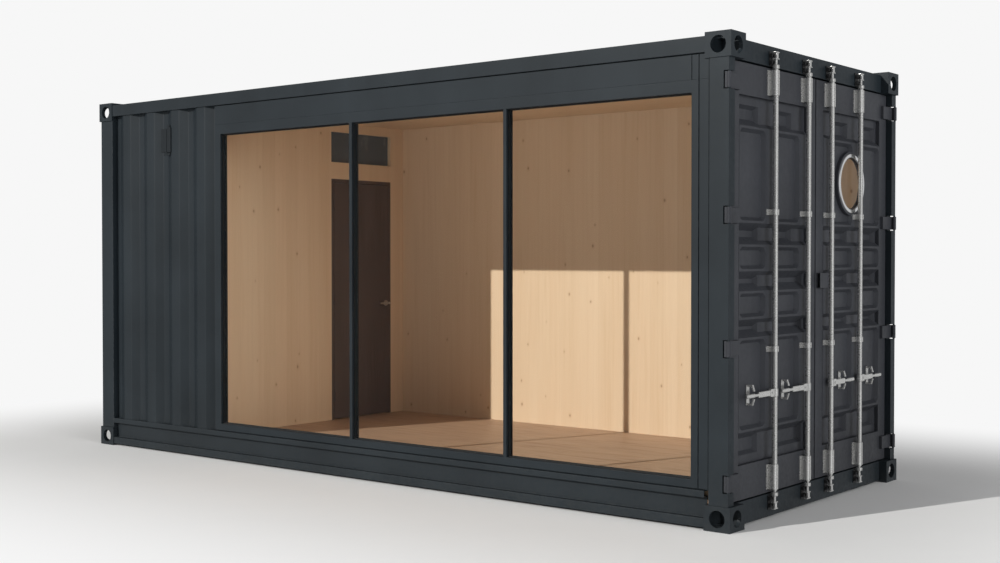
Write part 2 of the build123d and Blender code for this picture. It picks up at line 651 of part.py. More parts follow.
# inner wall with the doorway and the transom opening
PARTITION_X = PARTITION_FACE - PARTITION_THICK / 2
INNER_DOOR_Y = (INNER_DOOR_LEFT + INNER_DOOR_RIGHT) / 2
INNER_DOOR_WIDTH = INNER_DOOR_RIGHT - INNER_DOOR_LEFT
with BuildPart() as partition:
    with Locations((PARTITION_X, 0, LINING_Z)):
        Box(PARTITION_THICK, 2 * LINING_FACE, LINING_HEIGHT)
    with Locations((PARTITION_X, INNER_DOOR_Y, (FLOOR_TOP + INNER_DOOR_TOP) / 2)):
        Box(PARTITION_THICK, INNER_DOOR_WIDTH, INNER_DOOR_TOP - FLOOR_TOP, mode=Mode.SUBTRACT)
    with Locations((PARTITION_X, INNER_DOOR_Y, (TRANSOM_BOTTOM + TRANSOM_TOP) / 2)):
        Box(PARTITION_THICK, INNER_DOOR_WIDTH, TRANSOM_TOP - TRANSOM_BOTTOM, mode=Mode.SUBTRACT)
partition.part.label = "partition_wall"
export_step(partition.part, "parts/partition_wall.step")

INNER_PIN_X = PARTITION_FACE + BARREL_OUT
INNER_PIN_Y = INNER_DOOR_LEFT + JAMB + DOOR_PLAY / 2
with BuildPart() as door_frame:
    with Locations((PARTITION_X, INNER_DOOR_Y, (FLOOR_TOP + INNER_DOOR_TOP) / 2)):
        Box(PARTITION_THICK, INNER_DOOR_WIDTH, INNER_DOOR_TOP - FLOOR_TOP)
    with Locations((PARTITION_X, INNER_DOOR_Y, (FLOOR_TOP + INNER_DOOR_TOP - JAMB) / 2)):
        Box(
            PARTITION_THICK,
            INNER_DOOR_WIDTH - 2 * JAMB,
            INNER_DOOR_TOP - JAMB - FLOOR_TOP,
            mode=Mode.SUBTRACT,
        )
    for z in BARREL_HEIGHTS:
        with Locations((INNER_PIN_X, INNER_PIN_Y, z + BARREL_HEIGHT / 2 + BARREL_GAP)):
            Cylinder(BARREL_RADIUS, BARREL_HEIGHT)
        with Locations((INNER_PIN_X, INNER_PIN_Y, z - BARREL_HEIGHT / 2 + BARREL_GAP)):
            Cylinder(BARREL_PIN, BARREL_HEIGHT)
        wing_y = INNER_PIN_Y - WING_WIDTH / 2
        with Locations((PARTITION_FACE + WING_THICK / 2, wing_y, z + BARREL_HEIGHT / 2 + BARREL_GAP)):
            Box(WING_THICK, WING_WIDTH, BARREL_HEIGHT)
door_frame.part.label = "inner_door_frame"
export_step(door_frame.part, "parts/inner_door_frame.step")

with BuildPart() as transom:
    with Locations((PARTITION_X, INNER_DOOR_Y, (TRANSOM_BOTTOM + TRANSOM_TOP) / 2)):
        Box(TRANSOM_PANE, INNER_DOOR_WIDTH, TRANSOM_TOP - TRANSOM_BOTTOM)
transom.part.label = "transom_pane"
export_step(transom.part, "parts/transom_pane.step")

# inner door leaf and its lever handle
INNER_LEAF_LEFT = INNER_DOOR_LEFT + JAMB + DOOR_PLAY
INNER_LEAF_RIGHT = INNER_DOOR_RIGHT - JAMB - DOOR_PLAY
INNER_LEAF_BOTTOM = FLOOR_TOP + INNER_LEAF_LIFT
INNER_LEAF_TOP = INNER_DOOR_TOP - JAMB - DOOR_PLAY
with BuildPart() as inner_door:
    leaf_y = (INNER_LEAF_LEFT + INNER_LEAF_RIGHT) / 2
    leaf_z = (INNER_LEAF_BOTTOM + INNER_LEAF_TOP) / 2
    with Locations((PARTITION_FACE - INNER_LEAF_THICK / 2, leaf_y, leaf_z)):
        Box(INNER_LEAF_THICK, INNER_LEAF_RIGHT - INNER_LEAF_LEFT, INNER_LEAF_TOP - INNER_LEAF_BOTTOM)
    for z in BARREL_HEIGHTS:
        with Locations((INNER_PIN_X, INNER_PIN_Y, z - BARREL_HEIGHT / 2 - BARREL_GAP)):
            Cylinder(BARREL_RADIUS, BARREL_HEIGHT)
        wing_y = INNER_PIN_Y + WING_WIDTH / 2
        with Locations((PARTITION_FACE + WING_THICK / 2, wing_y, z - BARREL_HEIGHT / 2 - BARREL_GAP)):
            Box(WING_THICK, WING_WIDTH, BARREL_HEIGHT)
        with Locations((INNER_PIN_X, INNER_PIN_Y, z - BARREL_HEIGHT / 2 - BARREL_GAP)):
            Cylinder(BARREL_BORE, BARREL_HEIGHT + CUT_OVER, mode=Mode.SUBTRACT)
inner_door.part.label = "inner_door"
export_step(inner_door.part, "parts/inner_door.step")

with BuildPart() as inner_handle:
    for side in (0, 1):
        base = PARTITION_FACE - side * INNER_LEAF_THICK
        out = 1 - 2 * side
        with Locations(Location((base + out * ROSE_THICK / 2, LEVER_Y, LEVER_Z), (0, 90, 0))):
            Cylinder(ROSE_RADIUS, ROSE_THICK)
        with Locations(Location((base + out * SPINDLE_LENGTH / 2, LEVER_Y, LEVER_Z), (0, 90, 0))):
            Cylinder(SPINDLE_RADIUS, SPINDLE_LENGTH)
        lever_x = base + out * (SPINDLE_LENGTH - LEVER_THICK / 2)
        with Locations((lever_x, LEVER_Y + SPINDLE_RADIUS - LEVER_LENGTH / 2, LEVER_Z)):
            Box(LEVER_THICK, LEVER_LENGTH, LEVER_HEIGHT)
inner_handle.part.label = "inner_door_handle"
export_step(inner_handle.part, "parts/inner_door_handle.step")

# glazing frame with two mullions
GLASS_LEFT = FRAME_INNER_LEFT
GLASS_RIGHT = FRAME_INNER_RIGHT
with BuildPart() as window_frame:
    frame_y = -(WINDOW_FACE + FRAME_BACK) / 2
    with Locations((head_x, frame_y, (BOTTOM_RAIL_TOP + HEAD_PLATE_BOTTOM) / 2)):
        Box(head_length, WINDOW_DEPTH, HEAD_PLATE_BOTTOM - BOTTOM_RAIL_TOP)
    edges = (GLASS_LEFT, MULLION_ONE, MULLION_TWO, GLASS_RIGHT)
    trims = (0, MULLION_WIDTH / 2, MULLION_WIDTH / 2, 0)
    for index in range(3):
        low = edges[index] + trims[index]
        high = edges[index + 1] - trims[index + 1]
        with Locations(((low + high) / 2, frame_y, (GLASS_BOTTOM + GLASS_TOP) / 2)):
            Box(high - low, WINDOW_DEPTH, GLASS_TOP - GLASS_BOTTOM, mode=Mode.SUBTRACT)
    groove_y = -(WINDOW_FACE - GROOVE_DEPTH / 2)
    with Locations((head_x, groove_y, BOTTOM_RAIL_TOP + GROOVE / 2)):
        Box(head_length, GROOVE_DEPTH, GROOVE, mode=Mode.SUBTRACT)
    with Locations((JAMB_GROOVE_X, groove_y, (BOTTOM_RAIL_TOP + HEAD_PLATE_BOTTOM) / 2)):
        Box(JAMB_GROOVE, GROOVE_DEPTH, HEAD_PLATE_BOTTOM - BOTTOM_RAIL_TOP, mode=Mode.SUBTRACT)
    with Locations((FRAME_OUTER_RIGHT - SEAM / 2, seam_y, (BOTTOM_RAIL_TOP + HEAD_PLATE_BOTTOM) / 2)):
        Box(SEAM, SEAM_DEPTH, HEAD_PLATE_BOTTOM - BOTTOM_RAIL_TOP, mode=Mode.SUBTRACT)
window_frame.part.label = "window_frame"
export_step(window_frame.part, "parts/window_frame.step")

with BuildPart() as panes:
    pane_y = -(WINDOW_FACE - GLASS_SETBACK - GLASS_THICK / 2)
    for index in range(3):
        low = edges[index] + trims[index]
        high = edges[index + 1] - trims[index + 1]
        with Locations(((low + high) / 2, pane_y, (GLASS_BOTTOM + GLASS_TOP) / 2)):
            Box(high - low, GLASS_THICK, GLASS_TOP - GLASS_BOTTOM)
panes.part.label = "window_panes"
export_step(panes.part, "parts/window_panes.step")

# vent hood on the second rib
vent_section = [
    (SHEET_FACE, VENT_BOTTOM),
    (SHEET_FACE + VENT_DEPTH, VENT_BOTTOM),
    (SHEET_FACE + VENT_DEPTH, VENT_TOP - VENT_SLOPE),
    (SHEET_FACE, VENT_TOP),
    (SHEET_FACE, VENT_BOTTOM),
]
with BuildPart() as vent:
    with BuildSketch(Plane.YZ.offset(VENT_LEFT)):
        with BuildLine():
            Polyline([(-y, z) for y, z in vent_section])
        make_face()
    extrude(amount=VENT_RIGHT - VENT_LEFT)
vent.part.label = "vent_hood"
export_step(vent.part, "parts/vent_hood.step")

# keeper blocks for the bar cams, on the header and the sill
BARS = (-BAR_OUTER_Y, -BAR_INNER_Y, BAR_INNER_Y, BAR_OUTER_Y)
with BuildPart() as keepers:
    for y in BARS:
        for z in (KEEPER_BOTTOM_Z, KEEPER_TOP_Z):
            with Locations((DOOR_FACE + KEEPER_X / 2, y, z)):
                Box(KEEPER_X, KEEPER_Y, KEEPER_Z)
keepers.part.label = "bar_keepers"
export_step(keepers.part, "parts/bar_keepers.step")

# pressed recesses of one leaf
PANEL_LEFT = HALF_WIDTH - PANEL_OUTER_Y
PANEL_RIGHT = HALF_WIDTH - PANEL_INNER_Y
LEAF_BACK = DOOR_FACE - LEAF_DEPTH
PORT_FLANGE = PORT_RING_RADIUS + PORT_FLANGE_RIM
for side, name in ((-1, "near"), (1, "far")):
    face_plane = Plane(origin=(DOOR_FACE, 0, 0), x_dir=(0, -1, 0), z_dir=(-1, 0, 0))
    # leaf frame: four flat members round the pressed panel
    with BuildPart() as leaf_frame:
        leaf_y = side * (LEAF_OUTER_Y + LEAF_INNER_Y) / 2
        panel_y = side * (PANEL_OUTER_Y + PANEL_INNER_Y) / 2
        panel_width = PANEL_OUTER_Y - PANEL_INNER_Y
        with Locations((DOOR_FACE - LEAF_DEPTH / 2, leaf_y, (LEAF_BOTTOM + LEAF_TOP) / 2)):
            Box(LEAF_DEPTH, LEAF_OUTER_Y - LEAF_INNER_Y, LEAF_TOP - LEAF_BOTTOM)
        with Locations((DOOR_FACE - LEAF_DEPTH / 2, panel_y, (PANEL_BOTTOM + PANEL_TOP) / 2)):
            Box(LEAF_DEPTH, panel_width, PANEL_TOP - PANEL_BOTTOM, mode=Mode.SUBTRACT)
    leaf_frame.part.label = name + "_leaf_frame"
    export_step(leaf_frame.part, "parts/" + name + "_leaf_frame.step")

    # pressed panel: recesses with sloping walls, the same thickness all over
    with BuildPart() as panel:
        with Locations((DOOR_FACE - PANEL_SHEET / 2, panel_y, (PANEL_BOTTOM + PANEL_TOP) / 2)):
            Box(PANEL_SHEET, panel_width, PANEL_TOP - PANEL_BOTTOM)
        recesses = []
        for left, right in LONG_SPANS:
            for low, high in LONG_ROWS:
                recesses.append((left, right, low, high, PRESS_DEPTH, PRESS_CORNER))
        for index, (left, right) in enumerate(SHORT_SPANS):
            for row, (low, high) in enumerate(SHORT_ROWS):
                if side == -1 and row == DEEP_ROW and index == 1:
                    left, right = DEEP_SPAN
                bottom = max(low, PANEL_BOTTOM + ROW_DEPTH)
                top = min(high, PANEL_TOP - ROW_DEPTH)
                recesses.append((left, right, bottom, top, ROW_DEPTH + PRESS_DEPTH, 0))
        for grow, change in ((PANEL_SHEET, Mode.ADD), (0, Mode.SUBTRACT)):
            for low, high in SHORT_ROWS:
                with BuildSketch(Plane.XZ.offset(-side * PANEL_INNER_Y)):
                    with BuildLine():
                        Polyline(
                            (DOOR_FACE, low - grow),
                            (DOOR_FACE, high + grow),
                            (DOOR_FACE - ROW_DEPTH - grow, high - ROW_SLOPE + grow),
                            (DOOR_FACE - ROW_DEPTH - grow, low + ROW_SLOPE - grow),
                            (DOOR_FACE, low - grow),
                        )
                    make_face()
                extrude(amount=-side * panel_width, mode=change)
            for left, right, low, high, depth, corner in recesses:
                y = HALF_WIDTH - (left + right) / 2
                with BuildSketch(face_plane):
                    with Locations((-side * y, (low + high) / 2)):
                        if corner:
                            RectangleRounded(right - left + 2 * grow, high - low + 2 * grow, corner + grow)
                        else:
                            Rectangle(right - left + 2 * grow, high - low + 2 * grow)
                extrude(amount=depth + grow, taper=PRESS_TAPER, mode=change)
        with Locations((DOOR_FACE, panel_y, PANEL_BOTTOM - ROW_DEPTH), (DOOR_FACE, panel_y, PANEL_TOP + ROW_DEPTH)):
            Box(4 * ROW_DEPTH, panel_width, 2 * ROW_DEPTH, mode=Mode.SUBTRACT)
        if side == 1:
            with Locations(Location((DOOR_FACE - PRESS_DEPTH / 2, PORT_Y, PORT_Z), (0, 90, 0))):
                Cylinder(PORT_FLANGE, PRESS_DEPTH)
                Cylinder(PORT_CLEAR_RADIUS, 4 * PRESS_DEPTH, mode=Mode.SUBTRACT)
    panel.part.label = name + "_leaf_panel"
    export_step(panel.part, "parts/" + name + "_leaf_panel.step")

    # seal round the back of the leaf
    with BuildPart() as seal:
        with Locations((LEAF_BACK - SEAL_DEPTH / 2, leaf_y, (LEAF_BOTTOM + LEAF_TOP) / 2)):
            Box(SEAL_DEPTH, LEAF_OUTER_Y - LEAF_INNER_Y, LEAF_TOP - LEAF_BOTTOM)
            Box(
                SEAL_DEPTH,
                LEAF_OUTER_Y - LEAF_INNER_Y - 2 * SEAL_WIDTH,
                LEAF_TOP - LEAF_BOTTOM - 2 * SEAL_WIDTH,
                mode=Mode.SUBTRACT,
            )
    seal.part.label = name + "_leaf_seal"
    export_step(seal.part, "parts/" + name + "_leaf_seal.step")

    # hinge blades with knuckles round the pins of the post
    with BuildPart() as blades:
        for z in HINGE_HEIGHTS:
            with Locations((PIN_X, side * PIN_Y, z)):
                Cylinder(KNUCKLE_RADIUS, KNUCKLE_HEIGHT)
            with Locations(((BLADE_BACK + PIN_X - PIN_RADIUS) / 2, side * PIN_Y, z)):
                Box(PIN_X - PIN_RADIUS - BLADE_BACK, NECK, KNUCKLE_HEIGHT)
            strap_outer = PIN_Y + NECK / 2
            with Locations((BLADE_BACK + BLADE_THICK / 2, side * (strap_outer + BLADE_ROOT_Y) / 2, z)):
                Box(BLADE_THICK, strap_outer - BLADE_ROOT_Y, KNUCKLE_HEIGHT)
            with BuildSketch(face_plane):
                with Locations((-side * (BLADE_OUTER_Y + BLADE_INNER_Y) / 2, z)):
                    Rectangle(BLADE_OUTER_Y - BLADE_INNER_Y, KNUCKLE_HEIGHT)
            extrude(amount=-(BLADE_BACK + BLADE_THICK - DOOR_FACE), taper=BLADE_TAPER)
        for z in HINGE_HEIGHTS:
            with Locations((PIN_X, side * PIN_Y, z)):
                Cylinder(PIN_RADIUS + BAR_CLEARANCE, KNUCKLE_HEIGHT + CUT_OVER, mode=Mode.SUBTRACT)
    blades.part.label = name + "_leaf_hinges"
    export_step(blades.part, "parts/" + name + "_leaf_hinges.step")

    # brackets, guides and handle catches on the leaf face
    with BuildPart() as fittings:
        for bar_y in (BAR_OUTER_Y, BAR_INNER_Y):
            y = side * bar_y
            for z, height, half_width in BRACKETS:
                with Locations((DOOR_FACE + FOOT_PLATE / 2, y, z)):
                    Box(FOOT_PLATE, 2 * half_width, height)
                with Locations(((DOOR_FACE + BAR_X) / 2, y, z)):
                    Box(BAR_X - DOOR_FACE, 2 * (BAR_RADIUS + STRAP), height)
                with Locations((BAR_X, y, z)):
                    Cylinder(BAR_RADIUS + BAR_CLEARANCE + STRAP, height)
                with Locations((BAR_X, y, z)):
                    Cylinder(BAR_RADIUS + BAR_CLEARANCE, height + CUT_OVER, mode=Mode.SUBTRACT)
            catch_y = y + side * CATCH_FROM_BAR
            with Locations((DOOR_FACE - (PRESS_DEPTH - CATCH_BASE_OUT) / 2, catch_y, HANDLE_Z)):
                Box(PRESS_DEPTH + CATCH_BASE_OUT, CATCH_BASE_WIDTH, CATCH_BASE_HEIGHT)
            for jaw_z in (HANDLE_Z - JAW_OFFSET, HANDLE_Z + JAW_OFFSET):
                with Locations((DOOR_FACE + JAW_REACH / 2, catch_y, jaw_z)):
                    Box(JAW_REACH, JAW_WIDTH, JAW_HEIGHT)
    fittings.part.label = name + "_lock_fittings"
    export_step(fittings.part, "parts/" + name + "_lock_fittings.step")

# lock box on the far leaf beside the seam
with BuildPart() as lock_box:
    lock_z = (LOCK_BOTTOM + LOCK_TOP) / 2
    with Locations((DOOR_FACE + LOCK_DEPTH / 2, (LOCK_LEFT + LOCK_RIGHT) / 2, lock_z)):
        Box(LOCK_DEPTH, LOCK_RIGHT - LOCK_LEFT, LOCK_TOP - LOCK_BOTTOM)
    cavity_y = (LOCK_LEFT + LOCK_RIGHT - LOCK_WALL) / 2
    with Locations((DOOR_FACE + LOCK_DEPTH / 2, cavity_y, lock_z)):
        Box(
            LOCK_DEPTH - 2 * LOCK_WALL,
            LOCK_RIGHT - LOCK_LEFT - LOCK_WALL,
            LOCK_TOP - LOCK_BOTTOM - 2 * LOCK_WALL,
            mode=Mode.SUBTRACT,
        )
lock_box.part.label = "lock_box"
export_step(lock_box.part, "parts/lock_box.step")

# round window: chromed ring and pane
with BuildPart() as port_ring:
    with Locations(Location((DOOR_FACE + RING_OUT / 2, PORT_Y, PORT_Z), (0, 90, 0))):
        Cylinder(PORT_RING_RADIUS, RING_OUT)
        Cylinder(PORT_CLEAR_RADIUS, RING_OUT, mode=Mode.SUBTRACT)
port_ring.part.label = "porthole_ring"
export_step(port_ring.part, "parts/porthole_ring.step")

with BuildPart() as port_pane:
    with Locations(Location((DOOR_FACE - PRESS_DEPTH / 2, PORT_Y, PORT_Z), (0, 90, 0))):
        Cylinder(PORT_CLEAR_RADIUS, PANE_THICK)
port_pane.part.label = "porthole_pane"
export_step(port_pane.part, "parts/porthole_pane.step")

# locking bars: shaft, cams at both ends and a lever handle
SHAFT_LOW = KEEPER_BOTTOM_Z + CAM_HALF
SHAFT_HIGH = KEEPER_TOP_Z - CAM_HALF
for number, y in zip(("one", "two", "three", "four"), BARS):
    side = 1 if y > 0 else -1
    with BuildPart() as bar:
        with Locations((BAR_X, y, (SHAFT_LOW + SHAFT_HIGH) / 2)):
            Cylinder(BAR_RADIUS, SHAFT_HIGH - SHAFT_LOW)
        for cam_z in (KEEPER_BOTTOM_Z, KEEPER_TOP_Z):
            with Locations((BAR_X, y, cam_z)):
                Box(CAM_BACK, CAM_WIDTH, 2 * CAM_HALF)
            for prong_z in (cam_z - CAM_HALF + PRONG / 2, cam_z + CAM_HALF - PRONG / 2):
                with Locations((BAR_X - CAM_REACH / 2, y, prong_z)):
                    Box(CAM_REACH, CAM_WIDTH, PRONG)
        with Locations((BAR_X, y, HANDLE_Z)):
            Cylinder(BAR_RADIUS + STRAP, HUB_HEIGHT)
        for length, thick, height in (
            (LUG_LENGTH, LUG_THICK, HUB_HEIGHT),
            (ROOT_LENGTH, ROOT_THICK, ROOT_HEIGHT),
        ):
            with Locations((BAR_X, y + side * length / 2, HANDLE_Z)):
                Box(thick, length, height)
        grip_plane = Plane(origin=(BAR_X - GRIP_THICK / 2, 0, 0), x_dir=(0, 1, 0), z_dir=(1, 0, 0))
        with BuildSketch(grip_plane):
            with Locations((y + side * (HANDLE_LENGTH + ROOT_LENGTH - GRIP_HEIGHT) / 2, HANDLE_Z)):
                SlotOverall(HANDLE_LENGTH - ROOT_LENGTH + GRIP_HEIGHT, GRIP_HEIGHT)
        extrude(amount=GRIP_THICK)
    bar.part.label = "lock_bar_" + number
    export_step(bar.part, "parts/lock_bar_" + number + ".step")
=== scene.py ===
"""Container cabin: a shipping container with a glazed long side, cargo doors and a timber room."""

import json
import math

import bmesh
import bpy
from bpy.props import FloatProperty, FloatVectorProperty, IntProperty, PointerProperty
from mathutils import Euler, Matrix, Vector

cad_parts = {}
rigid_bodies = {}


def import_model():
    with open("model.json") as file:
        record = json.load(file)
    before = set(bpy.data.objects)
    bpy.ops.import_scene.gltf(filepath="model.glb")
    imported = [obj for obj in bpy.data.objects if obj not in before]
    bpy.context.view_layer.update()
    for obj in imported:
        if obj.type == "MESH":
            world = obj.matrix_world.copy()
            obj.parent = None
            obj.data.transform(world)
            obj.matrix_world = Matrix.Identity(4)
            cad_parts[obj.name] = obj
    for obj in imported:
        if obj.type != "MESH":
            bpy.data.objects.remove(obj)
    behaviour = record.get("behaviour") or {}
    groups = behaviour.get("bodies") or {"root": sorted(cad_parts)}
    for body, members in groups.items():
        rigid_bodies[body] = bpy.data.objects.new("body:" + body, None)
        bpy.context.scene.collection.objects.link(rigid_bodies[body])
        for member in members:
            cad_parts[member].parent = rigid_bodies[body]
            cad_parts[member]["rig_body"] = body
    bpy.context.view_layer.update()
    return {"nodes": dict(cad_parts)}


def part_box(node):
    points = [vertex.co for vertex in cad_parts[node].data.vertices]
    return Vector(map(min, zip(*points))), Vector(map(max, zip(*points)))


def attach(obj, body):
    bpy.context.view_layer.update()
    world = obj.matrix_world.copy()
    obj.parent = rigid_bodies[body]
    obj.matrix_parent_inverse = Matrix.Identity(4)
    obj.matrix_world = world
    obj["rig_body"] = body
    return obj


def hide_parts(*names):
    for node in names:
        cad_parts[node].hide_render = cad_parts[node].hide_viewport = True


bl_info = {
    "name": "Container cabin",
    "version": (1, 0, 0),
    "blender": (4, 5, 0),
    "location": "View3D > Sidebar > Cabin",
    "description": "Dresses the container cabin in painted steel, glass and timber",
    "category": "Object",
}

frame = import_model()

# lock gear, in metres
OUTER_BAR_Y = 0.623
INNER_BAR_Y = 0.171
BAR_LINES = {"one": -OUTER_BAR_Y, "two": -INNER_BAR_Y, "three": INNER_BAR_Y, "four": OUTER_BAR_Y}
BAR_X = 3.007
BAR_RADIUS = 0.016
BAR_MIDDLE_Z = 1.4525
BAR_LENGTH = 2.567
CAM_ENDS = ((0.056, 1.0), (2.840, -1.0))
CAM_PLATE_STEPS = (0.004, 0.043)
KEEPER_LUG_STEPS = (0.0235, 0.065)
KEEPER_LUG_Y = 0.0235
DOOR_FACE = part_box("near_leaf_frame")[1].x
HANDLE_Z = 0.770
CATCH_FROM_BAR = 0.245
STRAP_WALL = 0.0045
STRAP_RADIUS = 0.0225
STRAP_FLATTENING = 0.755
# brackets: height of the middle, height, half width over the feet
BRACKET_ROWS = (
    (2.650, 0.152, 0.050),
    (1.867, 0.034, 0.058),
    (1.035, 0.034, 0.058),
    (0.255, 0.152, 0.050),
)
# bolts of the brackets: height of the middle, reach up and down, distance from the bar
BOLT_ROWS = (
    (2.650, 0.055, 0.0385),
    (0.255, 0.055, 0.0385),
    (1.867, 0.0, 0.043),
    (1.035, 0.0, 0.043),
)
# lever: start, end, thickness, height, edge radius
LEVER_PARTS = (
    (0.010, 0.066, 0.020, 0.050, 0.005),
    (0.060, 0.210, 0.013, 0.036, 0.005),
    (0.200, 0.268, 0.010, 0.017, 0.004),
    (0.255, 0.356, 0.0155, 0.0255, 0.0075),
)

# round window: centre, and its ring as (out, radius)
ROUND_CENTRE = (0.551, 2.092)
ROUND_OUTLINE = (
    (0.0, 0.203),
    (0.004, 0.2015),
    (0.006, 0.197),
    (0.006, 0.180),
    (0.0035, 0.174),
    (-0.004, 0.172),
    (-0.004, 0.178),
    (0.0, 0.181),
)

# glazing
MULLION_X = (-0.036, 1.371)
MULLION_HALF = 0.0135
GASKET_DEPTH = 0.006
LEAF_GASKET_BACK = 0.030
LEAF_GASKET_DEPTH = 0.014

# vent hood as shares of its box: left, right, bottom, top, depth
VENT_PARTS = (
    (0.0, 0.52, 0.10, 0.86, 0.72),
    (0.60, 0.96, 0.10, 0.92, 1.0),
    (0.50, 0.64, 0.05, 0.10, 1.0),
    (0.28, 0.88, 0.0, 0.075, 0.8),
    (0.62, 0.82, 0.92, 1.0, 0.6),
    (0.0, 1.0, 0.09, 0.88, 0.4),
)

# light and view
SUN_TRAVEL = (0.372, 1.0, -0.467)
SIDE_TRAVEL = (-1.0, 0.12, -0.13)
CAMERA_PLACE = (6.79357, -8.05311, 1.59136)
CAMERA_DIP = 1.024
CAMERA_TURN = 38.59
BACKDROP = 0.93
CABIN_HALF = (3.03, 1.22)
# soft walls of the studio: direction, outer and inner half angle, level
SOFT_WALLS = (
    ((-0.50, -0.86, 0.0), 33.0, 25.0, 0.80),
    ((0.99, -0.14, 0.0), 33.0, 25.0, 0.75),
    ((0.44, 0.90, 0.0), 26.0, 10.0, 0.45),
)
SOFT_LEVEL = 0.15


# settings


class PaintSettings(bpy.types.PropertyGroup):
    """Paint of the steel shell"""

    coat: FloatVectorProperty(
        name="Coat", description="Anthracite paint", subtype="COLOR", size=3,
        min=0.0, max=1.0, default=(0.0140, 0.0190, 0.0232),
    )
    worn: FloatVectorProperty(
        name="Worn edge", description="Paint where edges are rubbed", subtype="COLOR", size=3,
        min=0.0, max=1.0, default=(0.060, 0.066, 0.070),
    )
    dust: FloatVectorProperty(
        name="Dust", description="Road dust low on the shell", subtype="COLOR", size=3,
        min=0.0, max=1.0, default=(0.085, 0.083, 0.078),
    )
    gloss: FloatProperty(
        name="Roughness", description="Roughness of the clean paint", min=0.05, max=1.0, default=0.42,
    )
    edge: FloatProperty(
        name="Edge radius", description="Radius of the folded steel edges", unit="LENGTH",
        min=0.001, max=0.02, default=0.005,
    )


class TimberSettings(bpy.types.PropertyGroup):
    """Timber of the room"""

    wall: FloatVectorProperty(
        name="Wall timber", description="Pale spruce of the walls", subtype="COLOR", size=3,
        min=0.0, max=1.0, default=(0.76, 0.575, 0.40),
    )
    deck: FloatVectorProperty(
        name="Floor timber", description="Darker timber of the floor", subtype="COLOR", size=3,
        min=0.0, max=1.0, default=(0.47, 0.312, 0.213),
    )
    leaf: FloatVectorProperty(
        name="Inner door", description="Dark leaf of the inner door", subtype="COLOR", size=3,
        min=0.0, max=1.0, default=(0.10, 0.071, 0.064),
    )
    board: FloatProperty(
        name="Board width", description="Width of one lamella", unit="LENGTH",
        min=0.04, max=0.4, default=0.125,
    )


class GlassSettings(bpy.types.PropertyGroup):
    """Glass of the openings"""

    tint: FloatVectorProperty(
        name="Tint", description="Tint of the clear panes", subtype="COLOR", size=3,
        min=0.0, max=1.0, default=(0.97, 0.975, 0.97),
    )
    rim: FloatProperty(
        name="Gasket width", description="Width of the black gasket round a pane", unit="LENGTH",
        min=0.002, max=0.03, default=0.007,
    )


class FittingSettings(bpy.types.PropertyGroup):
    """Lock gear and small fittings"""

    zinc: FloatVectorProperty(
        name="Zinc", description="Galvanised steel of the bars", subtype="COLOR", size=3,
        min=0.0, max=1.0, default=(0.60, 0.60, 0.59),
    )
    bolt: FloatProperty(
        name="Bolt head", description="Radius of a bolt head", unit="LENGTH",
        min=0.003, max=0.02, default=0.009,
    )
    sides: IntProperty(
        name="Round segments", description="Segments of a turned piece", min=12, max=96, default=40,
    )


class StageSettings(bpy.types.PropertyGroup):
    """Light and view"""

    sun: FloatProperty(
        name="Sun strength", description="Strength of the sun lamp", min=0.0, max=10.0, default=2.9,
    )
    sky: FloatProperty(
        name="Sky strength", description="Level of the soft light", min=0.0, max=3.0, default=0.27,
    )
    side: FloatProperty(
        name="Side light", description="Strength of the soft light on the door end",
        min=0.0, max=10.0, default=2.35,
    )
    lens: FloatProperty(
        name="Lens", description="Focal length in millimetres", min=10.0, max=200.0, default=48.33,
    )


# material helpers


def finish(name):
    """New node material: the material, its tree and its shader."""
    material = bpy.data.materials.new(name)
    material.use_nodes = True
    return material, material.node_tree, material.node_tree.nodes["Principled BSDF"]


def add(tree, kind, inputs=None, **settings):
    """New node with its settings made and its sockets set or linked."""
    node = tree.nodes.new(kind)
    for key, value in settings.items():
        setattr(node, key, value)
    for key, value in (inputs or {}).items():
        if isinstance(value, bpy.types.NodeSocket):
            tree.links.new(value, node.inputs[key])
        else:
            node.inputs[key].default_value = value
    return node


def colour(values):
    """Colour with full alpha."""
    return (values[0], values[1], values[2], 1.0)


def calc(tree, operation, first, second=0.0, third=0.0):
    """Result of a sum on one number."""
    return add(tree, "ShaderNodeMath", {0: first, 1: second, 2: third}, operation=operation).outputs[0]


def blend_colour(tree, factor, first, second, mode="MIX"):
    """Mix of two colours."""
    node = add(tree, "ShaderNodeMix", {0: factor, 6: first, 7: second}, data_type="RGBA", blend_type=mode)
    return node.outputs[2]


def blend_value(tree, factor, first, second):
    """Mix of two numbers."""
    return add(tree, "ShaderNodeMix", {0: factor, 2: first, 3: second}, data_type="FLOAT").outputs[0]


def spread(tree, value, low, high, to_low, to_high):
    """Value moved from one range to another, held inside it."""
    node = add(tree, "ShaderNodeMapRange", {0: value, 1: low, 2: high, 3: to_low, 4: to_high})
    return node.outputs[0]


def grain(tree, place, stretch, scale, detail=3.0, roughness=0.55, distortion=0.0):
    """Noise on a stretched place."""
    moved = add(tree, "ShaderNodeMapping", {"Vector": place, "Scale": stretch}).outputs[0]
    node = add(
        tree, "ShaderNodeTexNoise",
        {
            "Vector": moved, "Scale": scale, "Detail": detail,
            "Roughness": roughness, "Distortion": distortion,
        },
    )
    return node.outputs[0]


def bump(tree, shader, height, strength, distance, under=None):
    """Bump on a shader, over an earlier bump if one is given."""
    inputs = {"Height": height, "Strength": strength, "Distance": distance}
    if under:
        inputs["Normal"] = under
    node = add(tree, "ShaderNodeBump", inputs)
    tree.links.new(node.outputs[0], shader.inputs["Normal"])
    return node.outputs[0]


def object_place(tree):
    """Object coordinates of the piece."""
    return add(tree, "ShaderNodeTexCoord").outputs["Object"]


# finishes


